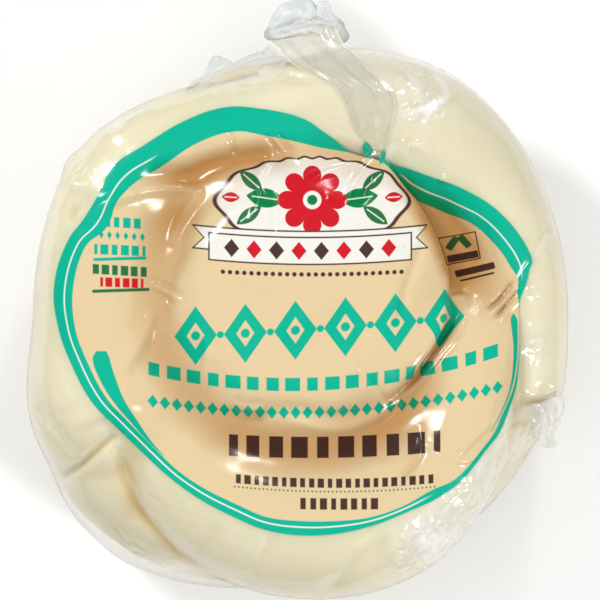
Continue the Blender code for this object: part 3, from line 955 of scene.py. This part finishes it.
# Single bars: (middle across, middle down, half length, half height, tilt in degrees, colour)
PLAIN_BARS = [
    (123, 259.5, 26, 1.6, 2, TEAL), (124, 290.5, 28, 1.6, 2, DEEP_GREEN), (460, 249, 17, 14, 12, BROWN),
    (460, 249, 15.8, 12.8, 12, PEACH), (454, 244, 3.2, 7, -30, DEEP_GREEN), (464, 242, 3.2, 7, 40, DEEP_GREEN),
    (463, 257, 14, 3.6, 12, BROWN), (474, 270, 19, 3.4, 14, BROWN), (476, 277, 17, 1.0, 14, BROWN),
]
BAR_CORNER = 1.5

# The two ends of the ring that are drawn up into the neck: middle, half sizes, tilt
TIPS = [(366.2, 152.5, 4.6, 9.0, 14), (381.6, 159.0, 3.4, 8.2, -20)]

# The medallion: middle, half width, half height
MEDALLION = (312.0, 202.0, 96.0, 43.0)
# The ribbon under it: middle, half length, half height, curve, pitch of its lozenges
RIBBON = (310.0, 252.0, 100.0, 14.0, 0.0005, 22.0)
# Leaves on each side of the flower: middle from the flower, half length, half width, tilt, colour
LEAVES = [
    (46.0, 2.0, 19.0, 9.5, 8.0, LEAF_GREEN), (60.0, 19.0, 15.0, 6.5, 42.0, DEEP_GREEN),
    (62.0, -15.0, 15.0, 6.5, -36.0, DEEP_GREEN), (80.0, 3.0, 9.0, 5.0, 4.0, RED),
]


def inside(distance):
    """1 where the distance to a printed shape's edge is below nought."""
    return (0.5 - distance * (1.0 / PRINT_SOFTNESS)).within()


def turned(right, down, degrees):
    """Two distances, turned by an angle."""
    cos, sin = math.cos(math.radians(degrees)), math.sin(math.radians(degrees))
    return right * cos - down * sin, right * sin + down * cos


class Print:
    """The print on the film, which begins as a field of colour in a green ring.

    Its upper and lower halves are colours of their own, so that a ray works out only one of them.
    """

    def __init__(self, look):
        self.look = look
        across, back = look.map_parts()
        self.x = across * FACE_SIZE
        self.y = (1.0 - back) * FACE_SIZE
        right = self.x - FACE_MIDDLE[0]
        up = FACE_MIDDLE[1] - self.y
        reach = (right * right + up * up) ** 0.5
        turn = (up.math("ARCTAN2", right) * (1.0 / (2 * math.pi))).math("WRAP", 1.0, 0.0)
        outer, inner = [
            look.curve(turn, [(row[0] / 360.0, row[side] / RING_SCALE) for row in RING]) * RING_SCALE
            for side in (1, 2)
        ]
        self.beyond = reach - outer
        self.ink = inside(self.beyond)
        line = inside(abs(reach - (inner + (outer - inner) * LINE_ACROSS)) - LINE_HALF_WIDTH)
        ring_colour = look.blend(line * look.curve(turn, LINE_SHOWN), TEAL, PAPER)
        ground = look.blend(inside(reach - inner), ring_colour, PEACH)
        self.halves = {"upper": ground, "lower": ground}

    def lay(self, shape, colour, half="upper"):
        """Paints a shape over what is there."""
        self.halves[half] = self.look.blend(shape, self.halves[half], colour)


def lay_strokes(sheet):
    """The two brush strokes inside the ring."""
    for middles, widths, top, bottom in BRUSH_STROKES:
        share = (sheet.y - top) * (1.0 / (bottom - top))
        middle = sheet.look.curve(share, [(at, across / FACE_SIZE) for at, across in middles]) * FACE_SIZE
        width = sheet.look.curve(share, widths) * STROKE_WIDEST
        stroke = inside(abs(sheet.x - middle) - width) * inside(top - sheet.y) * inside(sheet.y - bottom)
        sheet.lay(stroke, TEAL, "lower")


def lay_rows(sheet):
    """Rows of plain bars, lozenges and dots."""
    for cx, cy, half_x, half_y, pitch, fill, (sag, slope), kind, shade in ROWS:
        off = sheet.x - cx
        rise = sheet.y - cy + off * off * sag + off * slope
        steps = off * (1.0 / pitch)
        local = steps.math("FRACT") - 0.5
        if kind == "bars":
            size = (steps.math("FLOOR") * 2.399 + 0.7).math("SINE") * 0.12 + fill
            shape = ((abs(local) - size * 0.5) * pitch).most(abs(rise) - half_y)
        elif kind == "lozenges":
            shape = (abs(local) * pitch * (half_y / (pitch * fill * 0.5)) + abs(rise) - half_y) * 0.7
        else:
            if kind == "links":
                local = (steps + 0.5).math("FRACT") - 0.5
            shape = (local * local * pitch * pitch + rise * rise) ** 0.5 - half_y
        half = "lower" if cy > HALF_WAY else "upper"
        sheet.lay(inside(shape) * inside(abs(off) - half_x), shade, half)


def lay_medallion(sheet):
    """A pale medallion with a red flower and green leaves."""
    mx = sheet.x - MEDALLION[0]
    my = MEDALLION[1] - sheet.y
    oval = ((mx * (1.0 / MEDALLION[2])) ** 2.0 + (my * (1.0 / MEDALLION[3])) ** 2.0) ** 0.5
    around = my.math("ARCTAN2", mx)
    scallop = (around * 18.0).math("COSINE") * 0.022 + 1.0
    plate = (oval - scallop) * MEDALLION[3]
    sheet.lay(inside(plate), BROWN)
    sheet.lay(inside(plate + 2.0), PAPER)
    for leaf_x, leaf_y, long_half, short_half, tilt, shade in LEAVES:
        along, aside = turned(abs(mx) - leaf_x, my - leaf_y, -tilt)
        bow = 1.0 - (along * (1.0 / long_half)) ** 2.0
        sheet.lay(inside(abs(aside) - bow * short_half) * inside(abs(along) - long_half), shade)
        sheet.lay(inside(abs(aside) - 0.6) * inside(abs(along) - long_half * 0.7), PAPER)
    flower = (mx * mx + my * my) ** 0.5
    petals = abs((around * 4.0).math("COSINE")) ** 0.5 * 13.0 + 21.0
    for edge, shade in ((petals, RED), (9.0, PAPER), (5.0, LEAF_GREEN)):
        sheet.lay(inside(flower - edge), shade)


def lay_ribbon(sheet):
    """A pale ribbon with forked ends and a row of lozenges."""
    middle_x, middle_y, half_length, half_height, curve, pitch = RIBBON
    rx = sheet.x - middle_x
    ry = sheet.y - middle_y + rx * rx * curve
    end_y = abs(ry + 8.0)
    past = abs(rx) - half_length
    tail = (past - 16.0).most(end_y - 12.0).most(past - 5.0 - end_y)
    ribbon = past.most(abs(ry) - half_height)
    for shape in (tail, ribbon):
        sheet.lay(inside(shape), BROWN)
        sheet.lay(inside(shape + 1.6), PAPER)
    steps = rx * (1.0 / pitch)
    chip = (abs(steps.math("FRACT") - 0.5) * pitch * 1.2 + abs(ry) - 9.0) * 0.7
    odd = (steps.math("FLOOR") * 0.5).math("FRACT") * 2.0
    sheet.lay(inside(chip) * inside(past + 8.0), sheet.look.blend(odd.within(), BROWN, RED))


def lay_bars(sheet):
    """The single bars, and the two tips of the ring, which are ink outside it."""
    for cx, cy, half_x, half_y, tilt, shade in PLAIN_BARS:
        off, rise = turned(sheet.x - cx, sheet.y - cy, tilt)
        dx = (abs(off) - (half_x - BAR_CORNER)).most(0.0)
        dy = (abs(rise) - (half_y - BAR_CORNER)).most(0.0)
        sheet.lay(inside((dx * dx + dy * dy) ** 0.5 - BAR_CORNER), shade)
    for cx, cy, half_x, half_y, tilt in TIPS:
        off, rise = turned(sheet.x - cx, sheet.y - cy, tilt)
        tip = inside(abs(off) + (rise * (1.0 / half_y)) ** 2.0 * half_x - half_x)
        sheet.lay(tip, TEAL)
        sheet.ink = sheet.ink.most(tip)


def clear_film_look():
    """Clear glossy film that carries the print on the front."""
    look = Look("clear_film_print")
    sheet = Print(look)
    for lay_part in (lay_strokes, lay_rows, lay_medallion, lay_ribbon, lay_bars):
        lay_part(sheet)

    place = look.place()
    fine = look.lumps(place, 420.0, 3.0, 0.6)
    broad = look.lumps(place, 90.0, 2.0, 0.5)
    facets = look.add(
        "ShaderNodeTexVoronoi", {"feature": "DISTANCE_TO_EDGE"}, {"Vector": place, "Scale": 340.0}
    )
    ripple = look.bump((fine * 0.35 + broad) * 0.385 + facets * look.stored("crumpled") * 1.1, 0.001)
    # Painted shade: the ink is tinted darker and browner in hollows
    shaded = (look.stored("painted_hollow_shade") * 1.25).within()
    upper_ink, lower_ink = [
        look.coat(
            Base_Color=look.tint(shaded, sheet.halves[half], (0.62, 0.40, 0.22)),
            Roughness=0.5,
            IOR=1.4,
            Specular_IOR_Level=0.0,
            Coat_Weight=0.85,
            Coat_Roughness=0.17,
            Coat_IOR=1.42,
            Normal=ripple,
        )
        for half in ("upper", "lower")
    ]
    in_lower = (sheet.y + sheet.x * (1.0 / 30.0)).math("GREATER_THAN", HALF_WAY)
    inked = look.over(in_lower, upper_ink, lower_ink)

    gloss_sizes = {"Color": (1.0, 1.0, 1.0, 1.0), "Roughness": 0.11, "Normal": ripple}
    gloss = look.add("ShaderNodeBsdfGlossy", inputs=gloss_sizes)
    beside_ring = (1.0 - sheet.beyond * (1.0 / 11.0)).within()
    facing = look.add("ShaderNodeLayerWeight", inputs={"Blend": 0.3}, output=1)
    # Green tint on the cheese just outside the ring: painted shade, tinted green by the print
    see = look.over(beside_ring * 0.35, look.glass(0.985, 0.985, 0.975), look.glass(0.82, 0.95, 0.87))
    # Darker and browner where the film is seen at a glancing angle: painted shade along the rim, beyond the film's
    # own absorption
    see = look.over(facing**3.0 * 0.9, see, look.glass(0.62, 0.59, 0.52))
    haze = look.add("ShaderNodeBsdfDiffuse", inputs={"Color": (0.98, 0.975, 0.92, 1.0), "Normal": ripple})
    # White haze: the film's own milkiness, and painted highlights along its tight folds
    milk = look.stored("milky_and_painted_glints") * (broad * 2.0)
    shine = look.add("ShaderNodeFresnel", inputs={"IOR": 1.5, "Normal": ripple})
    misty = look.over((facing * 0.10 + 0.03 + milk).within(), see, haze)
    clear = look.over((shine * 1.6).least(0.3), misty, gloss)
    return look.done(look.over(sheet.ink, clear, inked))


def cheese_look():
    """Fresh pulled-curd cheese: cream, slightly moist, with faint strings along the rope."""
    look = Look("fresh_cheese")
    place = look.place()
    across, away, high = look.split(place)
    turn = away.math("ARCTAN2", across)
    reach = (across * across + away * away) ** 0.5
    wound = look.add("ShaderNodeCombineXYZ", inputs={"X": turn * 0.03, "Y": reach, "Z": high})
    strings = look.lumps(wound, 420.0, 3.0, 0.55)
    patches = look.lumps(place, 55.0, 2.0, 0.5)
    colour = look.blend(patches * 0.45, CREAM, BUTTER)
    colour = look.blend((strings - 0.5).within() * 0.5, colour, linear(247, 240, 218))
    # Darker and yellower in hollows and creases: painted shade, with some of the cheese's own yellow in the creases
    colour = look.tint((look.stored("painted_hollow_shade") * 1.2).within(), colour, (0.84, 0.70, 0.42))
    relief = look.bump(strings, 0.0006, 0.3)
    body = look.coat(
        Base_Color=colour,
        Roughness=0.42,
        IOR=1.45,
        Subsurface_Weight=0.25,
        Subsurface_Radius=(1.0, 0.75, 0.4),
        Subsurface_Scale=0.004,
        Normal=relief,
    )
    return look.done(body)


def make_cheese(rope_tree, film_tree):
    """The wound rope of cheese, a hair's breadth inside the film where they touch."""
    data = cube_skin("cheese_ball", CHEESE_CUTS, CHEESE_ROWS)
    starts, ways, bend = pillow(points_of(data))
    solid = depths_to(rope_tree, starts, ways)
    film = depths_to(film_tree, starts, ways)
    ends = ends_of(data)
    eased = draw_tight(solid, np.inf, ends, 3)
    height, size, seed = CHEESE_WAVES
    eased += height * rough(starts + ways * eased[:, None], size, seed)
    turns = np.degrees(np.arctan2(starts[:, 1], starts[:, 0]))
    gap = np.full(len(solid), FILM_GAP)
    for direction, spread, most in STAND_OFFS:
        apart = (turns - direction + 180.0) % 360.0 - 180.0
        gap += most * bell(apart, spread) * bell(bend - math.pi / 2, 0.7)
    depth = np.maximum(eased, film + gap)
    depth = draw_tight(depth, np.inf, ends, 1)
    depth = np.maximum(depth, film + gap)
    wide = draw_tight(depth, np.inf, ends, round(4.0 * (FILM_EASE * CHEESE_CUTS / 80.0) ** 2))
    points = starts + ways * depth[:, None]
    # Painted shade in the cheese's hollows, together with the yellow creases
    keep_share(data, "painted_hollow_shade", (depth - wide) / CHEESE_DEEPEST + streaky(on_face(points), CREASE_YELLOW_AND_SHADE) * facing_up(bend))
    return data, points


def tube_skin(name, around, along):
    """A mesh on a capped tube of radius one that reaches from nought to one in height."""
    shape = bmesh.new()
    bmesh.ops.create_cone(shape, cap_ends=True, cap_tris=True, segments=around, radius1=1, radius2=1, depth=1)
    bmesh.ops.subdivide_edges(shape, edges=upright_edges(shape, 0.5), cuts=along - 1)
    bmesh.ops.translate(shape, vec=(0.0, 0.0, 0.5), verts=shape.verts)
    bmesh.ops.triangulate(shape, faces=[face for face in shape.faces if len(face.verts) > 4])
    bmesh.ops.recalc_face_normals(shape, faces=shape.faces)
    return mesh_of(shape, name)


def along_line(line, shares):
    """Points at the given shares of a line's length. The line is rounded off first."""
    points = np.array(smooth_line(line, 5), float)
    lengths = np.concatenate([[0.0], np.cumsum(np.linalg.norm(np.diff(points[:, :2], axis=0), axis=1))])
    return np.column_stack([np.interp(shares, lengths / lengths[-1], points[:, k]) for k in range(points.shape[1])])


def from_face(places, heights):
    """Points in mm over places on the printed face."""
    across = (places[:, 0] - FACE_MIDDLE[0]) * FACE_UNIT
    away = (FACE_MIDDLE[1] - places[:, 1]) * FACE_UNIT
    return np.column_stack([across, away, heights])


def top_under(tree, points):
    """The height of the tree's surface straight under or over each point, or a low one where there is none."""
    found = [tree.ray_cast(Vector((x, y, 90.0)), Vector((0.0, 0.0, -1.0)))[0] for x, y, _ in points]
    return np.array([-99.0 if hit is None else hit.z for hit in found])


def loose_film(name, film_tree, left, right, section, pleats, crumple, rest, squares):
    """A strip of loose film between two lines of (across, down, height).

    Its section is (thickness, half thickness of the bead along each edge, rise between them), its
    pleats are (share across, height, width), it is crumpled by (height, size), and it lies at least
    rest above the tight film. squares says how many there are around and along it.
    """
    thickness, bead, bulge = section
    data = tube_skin(name, *squares)
    unit = points_of(data)
    radial = np.hypot(unit[:, 0], unit[:, 1])
    turn = np.arctan2(unit[:, 1], unit[:, 0]) / math.pi
    upper = np.where(np.abs(np.abs(turn) - 0.5) < 0.4999, np.sign(turn), 0.0)
    across = np.sin(math.pi / 2 * (1.0 - 2.0 * np.abs(turn))) * radial
    along_at = np.clip(unit[:, 2], 0.0, 1.0)
    one = along_line(left, along_at)
    two = along_line(right, along_at)
    middle = one * (1 - across[:, None]) / 2 + two * (1 + across[:, None]) / 2
    points = from_face(middle[:, :2], middle[:, 2])
    points[:, 2] += bulge * (1.0 - across**2) * np.sin(math.pi * along_at) ** 0.6
    for at, height, width in pleats:
        at_here = at + 0.12 * np.sin(3.0 * along_at + 9.0 * at)
        points[:, 2] += height * bell(across - at_here, width)
    height, size = crumple
    points[:, 2] += height * (1.0 - 2.0 * np.abs(rough(points, size, 31)))
    points[:, 2] = np.maximum(points[:, 2], top_under(film_tree, points) + rest)
    width = np.linalg.norm((two - one)[:, :2], axis=1) * FACE_UNIT
    from_edge = (1.0 - np.abs(across)) * width / 2
    round_edge = np.sqrt(np.maximum(bead**2 - (from_edge - bead) ** 2, 0.0)) * (from_edge < 2 * bead)
    half = np.maximum(round_edge, thickness / 2 * np.sqrt(np.clip(from_edge / (0.3 * bead), 0.0, 1.0)))
    points[:, 2] += upper * half * radial
    return data, points, np.column_stack([(across + 1) / 2 * FACE_SIZE, along_at * FACE_SIZE])


def pebble(name, outline, middle, half_height, crumple, creases):
    """A closed lump with the given outline on the face, crumpled by (height, size) and creased."""
    shape = bmesh.new()
    bmesh.ops.create_icosphere(shape, subdivisions=6, radius=1.0)
    data = mesh_of(shape, name)
    unit = points_of(data)
    outline = np.array(smooth_line([*outline, outline[0]], 4), float)
    centre = outline[:-1].mean(axis=0)
    aside = outline[:-1] - centre
    turns = np.arctan2(-aside[:, 1], aside[:, 0])
    order = np.argsort(turns)
    turns, reaches = turns[order], np.hypot(aside[order, 0], aside[order, 1])
    turns = np.concatenate([turns - 2 * math.pi, turns, turns + 2 * math.pi])
    reaches = np.tile(reaches, 3)
    reach = np.interp(np.arctan2(unit[:, 1], unit[:, 0]), turns, reaches)
    places = np.column_stack([centre[0] + unit[:, 0] * reach, centre[1] - unit[:, 1] * reach])
    points = from_face(places, middle + half_height * unit[:, 2])
    for height, width, line in creases:
        distance, _, share, _ = near_line(places, smooth_line(line))
        points[:, 2] += height * tapered(share, 5.0) ** 0.7 * bell(distance, width) * (unit[:, 2] > -0.2)
    height, size = crumple
    points += unit * (height * (1.0 - 2.0 * np.abs(rough(points, size, 47))))[:, None]
    # How near the outline a point is; the looks use it to darken the edges as painted shade
    keep_share(data, "edge", (np.hypot(unit[:, 0], unit[:, 1]) - 0.74) / 0.26)
    return data, points


# The two edges of the neck, from the ring up to the seal: (across, down, height in mm), and its
# pleats: (share across, height in mm, width as a share)
NECK_LEFT = [
    (372, 159, 39.4), (363.5, 145.4, 41.0), (356.6, 137.8, 41.8), (350.5, 125.5, 42.6), (346.7, 113.3, 43.0),
    (342.1, 102.6, 43.0), (335.2, 91.8, 42.8), (324.5, 84.2, 42.2), (310.7, 77.3, 41.0), (296.9, 69.6, 39.4),
    (286.2, 61.2, 37.8), (278.6, 51.3, 36.4), (270.4, 43.6, 34.2), (271.0, 37.0, 32.8),
]
NECK_RIGHT = [
    (379, 161, 39.4), (384.0, 152.0, 40.4), (386.0, 143.0, 41.4), (388.0, 134.7, 42.0), (391.8, 122.5, 42.8),
    (394.1, 110.2, 43.2), (392.6, 101.0, 43.2), (388.8, 94.0, 43.0), (382.7, 89.0, 42.6), (375.8, 82.0, 41.8),
    (367.4, 72.7, 40.4), (359.7, 62.8, 39.0), (350.5, 52.8, 37.4), (341.3, 42.9, 36.6), (334.6, 29.0, 36.4),
]
NECK_PLEATS = [(-0.7, 0.35, 0.14), (-0.35, -0.25, 0.12), (0.1, 0.3, 0.16), (0.42, -0.35, 0.12), (0.7, 0.3, 0.12)]

# Outlines on the face
SEAL_OUTLINE = [
    (266, 36), (268, 31), (279, 27.5), (289, 26), (298, 21.5), (306, 19), (320, 18.5), (333, 20), (340, 22),
    (344.6, 31), (347.4, 37), (346.2, 42), (340, 44.5), (328, 42), (318, 38.5), (306, 37.5), (296, 38.5), (286, 40.5),
    (276, 42.5), (269, 41.5), (266, 39),
]
LIP_OUTLINE = [
    (267, 33), (268.5, 28), (272, 19), (277, 12), (284, 5.5), (292, 2), (301.5, 1), (310, 2.3), (315.3, 8), (318, 15),
    (322, 24), (318, 31), (300, 33), (284, 36), (270, 37),
]
FINGER_OUTLINE = [
    (315.5, 9), (319, 5), (323, 3.4), (328.5, 4.6), (330.6, 9), (332, 14), (338, 20), (340, 26), (330, 31), (320, 28),
    (316, 18),
]

# Creases of the seal and its parts: (height in mm, width in face units, line)
SEAL_CREASES = [
    (0.7, 4.0, [(268, 36), (284, 33), (298, 28), (314, 26), (332, 27), (344, 33)]),
    (-0.6, 2.5, [(270, 38), (284, 36), (296, 33), (312, 30), (330, 30)]),
    (0.4, 2.0, [(300, 22), (312, 24), (326, 23)]),
]
LIP_CREASES = [(-0.9, 4.0, [(276, 30), (290, 26), (306, 24)]), (0.5, 4.0, [(278, 18), (292, 14), (306, 12)])]
FINGER_CREASES = [(0.4, 2.0, [(322, 6), (324, 16), (330, 26)])]

# The gathered corner at the lower right, and the flap at the upper left
RIGHT_EAR_INNER = [(509, 408, 36.0), (514, 415, 36.0), (522, 425, 35.0), (530, 436, 33.0), (536, 446, 31.0)]
RIGHT_EAR_OUTER = [
    (550, 399, 31.0), (562, 393, 30.0), (564.5, 408, 30.0), (558, 424, 30.0), (553, 435, 30.0), (556, 443, 29.6),
    (549, 449, 29.6),
]
RIGHT_EAR_PLEATS = [(-0.5, 0.5, 0.14), (0.0, 0.6, 0.12), (0.4, -0.4, 0.12), (0.7, 0.5, 0.1)]
TOP_FLAP_INNER = [
    (across, down, 34.0)
    for across, down in ((186, 94), (198, 88), (210, 83), (219, 79), (229, 75), (250, 70), (264, 68), (288, 66))
]
TOP_FLAP_OUTER = [
    (190, 87, 27.0), (192.3, 81.4, 26.4), (203, 74.4, 26.0), (208, 63, 26.0), (212, 56.2, 26.0), (215, 54.6, 26.0),
    (222, 56.6, 26.0), (229, 59.4, 26.4), (234.4, 62.5, 27.0), (239.6, 59.6, 27.4), (248.8, 55, 28.0),
    (256, 52.4, 28.6), (262, 51.8, 29.4), (270, 44.6, 32.0),
]


TOP_FLAP_PLEATS = [(0.3, 0.5, 0.16), (0.75, -0.4, 0.12)]


def make_loose_pieces(film_tree):
    """The neck, the seal with its lip and finger, and the flaps of film that stand off the ball."""
    strips = [
        (
            "film_neck", NECK_LEFT, NECK_RIGHT, (0.16, 0.32, 0.9), NECK_PLEATS, (0.16, 3.4), 0.18, (144, 120),
            loose_film_look("film_gathered", 0.04, 0.58, 0.65, linear(232, 230, 216)),
        ),
        (
            "film_right_corner", RIGHT_EAR_INNER, RIGHT_EAR_OUTER, (0.16, 0.22, 0.5), RIGHT_EAR_PLEATS, (0.5, 2.4),
            0.2, (96, 72), loose_film_look("film_corner", 0.42, 0.5, 0.6, linear(236, 235, 228), True),
        ),
        (
            "film_left_corner", TOP_FLAP_INNER, TOP_FLAP_OUTER, (0.14, 0.2, 0.4), TOP_FLAP_PLEATS, (0.22, 3.4),
            0.2, (96, 72), loose_film_look("film_fringe", 0.66, 0.3, 0.5, linear(218, 224, 225), True),
        ),
    ]
    for name, left, right, section, pleats, crumple, rest, squares, material in strips:
        data, points, places = loose_film(name, film_tree, left, right, section, pleats, crumple, rest, squares)
        put_points(data, points)
        add_face_map(data, places)
        add_piece(name, data, material)

    lumps = [
        ("film_seal", SEAL_OUTLINE, 33.4, 2.6, (0.34, 1.5), SEAL_CREASES, seal_look()),
        ("film_lip", LIP_OUTLINE, 33.3, 2.7, (0.22, 3.6), LIP_CREASES, lip_look()),
        ("film_finger", FINGER_OUTLINE, 33.4, 1.9, (0.16, 2.4), FINGER_CREASES, lip_look()),
    ]
    for name, outline, middle, half_height, crumple, creases, material in lumps:
        data, points = pebble(name, outline, middle, half_height, crumple, creases)
        put_points(data, points)
        add_piece(name, data, material)


def loose_film_look(name, near, far, edge, shade, fades=False):
    """Loose milky film: how much it hides at its start, at its end, and at its edges.

    It fades away at its very end, and a flap also towards its first line, where it leaves the
    tight film.
    """
    look = Look(name)
    across, back = look.map_parts()
    along = 1.0 - back
    place = look.place()
    cloud = look.lumps(place, 160.0, 3.0, 0.55)
    fine = look.lumps(place, 620.0, 2.0, 0.5)
    from_edge = abs(across - 0.5) * 2.0
    rim = ((from_edge - 0.955) * 30.0).within()
    if fades:
        rim = rim * ((across - 0.5) * 9.0).within()
    hides = along * (far - near) + near + (cloud - 0.5) * 0.5 + rim * edge
    hides = hides * ((1.0 - along) * 24.0).within()
    if fades:
        hides = hides * (across * 2.2 - 0.3).within()
    normal = look.bump(fine * 0.3 + cloud, 0.0008, 0.35)
    milk = look.coat(
        Base_Color=look.blend(rim * 0.9, shade, linear(250, 250, 246)),
        Roughness=0.32,
        IOR=1.5,
        Coat_Weight=1.0,
        Coat_Roughness=0.08,
        Normal=normal,
    )
    return look.done(look.over(hides.within(), look.glass(0.98, 0.98, 0.97), milk))


def seal_look():
    """The grainy pinched seal of the bag."""
    look = Look("film_pinched")
    place = look.place()
    grain = look.lumps(place, 1900.0, 3.0, 0.7)
    cloud = look.lumps(place, 300.0, 2.0, 0.5)
    colour = look.blend(cloud, linear(225, 227, 222), linear(247, 248, 246))
    # Painted shade: greyer and darker towards the outline
    milk = look.coat(
        Base_Color=look.tint(look.stored("edge") ** 2.0, colour, (0.62, 0.64, 0.63)),
        Roughness=0.45,
        Coat_Weight=0.5,
        Coat_Roughness=0.2,
        Normal=look.bump(grain + cloud, 0.0007, 0.8),
    )
    return look.done(look.over(0.9, look.glass(0.95, 0.95, 0.93), milk))


def lip_look():
    """Several layers of glossy film, cloudy where they lie together."""
    look = Look("film_layers")
    place = look.place()
    cloud = look.lumps(place, 200.0, 3.0, 0.55)
    edge = look.stored("edge")
    colour = look.blend(cloud, linear(226, 232, 233), linear(247, 250, 250))
    # Painted shade: darker blue-grey towards the outline
    milk = look.coat(
        Base_Color=look.tint(edge**2.0, colour, (0.46, 0.50, 0.52)),
        Roughness=0.3,
        Coat_Weight=1.0,
        Coat_Roughness=0.06,
        Normal=look.bump(cloud, 0.001, 0.4),
    )
    return look.done(look.over((cloud * 0.5 + edge * 0.3 + 0.5).within(), look.glass(0.93, 0.95, 0.95), milk))


def lay_floor():
    """A plain pale table."""
    shape = bmesh.new()
    bmesh.ops.create_grid(shape, x_segments=1, y_segments=1, size=1.5)
    bmesh.ops.translate(shape, vec=(0.0, 0.0, -0.00003), verts=shape.verts)
    data = mesh_of(shape, "table")
    look = Look("pale_table")
    data.materials.append(look.done(look.coat(Base_Color=(0.97, 0.97, 0.97, 1.0), Roughness=0.8)))
    in_scene("table", data)


# In metres: what the lights point at, how much the picture spans, and the height at which it does
LIT_PLACE = (0.0, 0.0, 0.02)
PICTURE_SPAN = 0.12
PICTURE_HEIGHT = 0.026


def light_softly(name, at, size, power, mirrored=True):
    """A round soft light that faces the pack, and that the film may mirror."""
    data = bpy.data.lights.new(name, "AREA")
    data.shape = "DISK"
    data.size = size
    data.energy = power
    lamp = in_scene(name, data)
    lamp.visible_glossy = mirrored
    lamp.location = at
    lamp.rotation_mode = "QUATERNION"
    lamp.rotation_quaternion = (Vector(LIT_PLACE) - Vector(at)).to_track_quat("-Z", "Y")


def set_studio():
    """Soft lights, a bright surround, and the camera straight above."""
    light_softly("key", (-0.42, 0.34, 0.58), 0.15, 2.7)
    light_softly("fill", (0.46, -0.34, 0.55), 0.15, 2.5)
    light_softly("left_side", (-0.32, -0.14, 0.80), 0.7, 1.8, False)
    light_softly("right_side", (0.26, 0.0, 0.80), 0.7, 0.95, False)
    light_softly("glints", (0.14, 0.52, 0.50), 0.08, 0.7)
    world = bpy.data.worlds.new("studio")
    world.use_nodes = True
    background = world.node_tree.nodes["Background"]
    background.inputs["Color"].default_value = (1.0, 1.0, 1.0, 1.0)
    background.inputs["Strength"].default_value = 0.22
    bpy.context.scene.world = world
    data = bpy.data.cameras.new("camera")
    data.lens = 250.0
    data.sensor_width = 36.0
    data.clip_start, data.clip_end = 0.01, 10.0
    camera = in_scene("camera", data)
    camera.location = (
        TO_PART[0] * MM,
        ((FACE_MIDDLE[1] - FACE_SIZE / 2) * FACE_UNIT + TO_PART[1]) * MM,
        PICTURE_HEIGHT + PICTURE_SPAN * data.lens / data.sensor_width,
    )
    scene = bpy.context.scene
    scene.camera = camera
    scene.view_settings.view_transform = "Standard"
    scene.view_settings.look = "None"


def main():
    clear_lights_and_cameras()
    rope_tree = wind_rope()
    film, film_points, places = make_film(rope_tree)
    film_tree = tree_of(film, film_points)
    cheese, cheese_points = make_cheese(rope_tree, film_tree)
    put_points(film, film_points)
    put_points(cheese, cheese_points)
    add_face_map(film, places)
    film_piece = add_piece("film_tight", film, clear_film_look())
    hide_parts("cheese_pack")
    add_piece("cheese_ball", cheese, cheese_look())
    make_loose_pieces(film_tree)
    lay_floor()
    set_studio()


main()
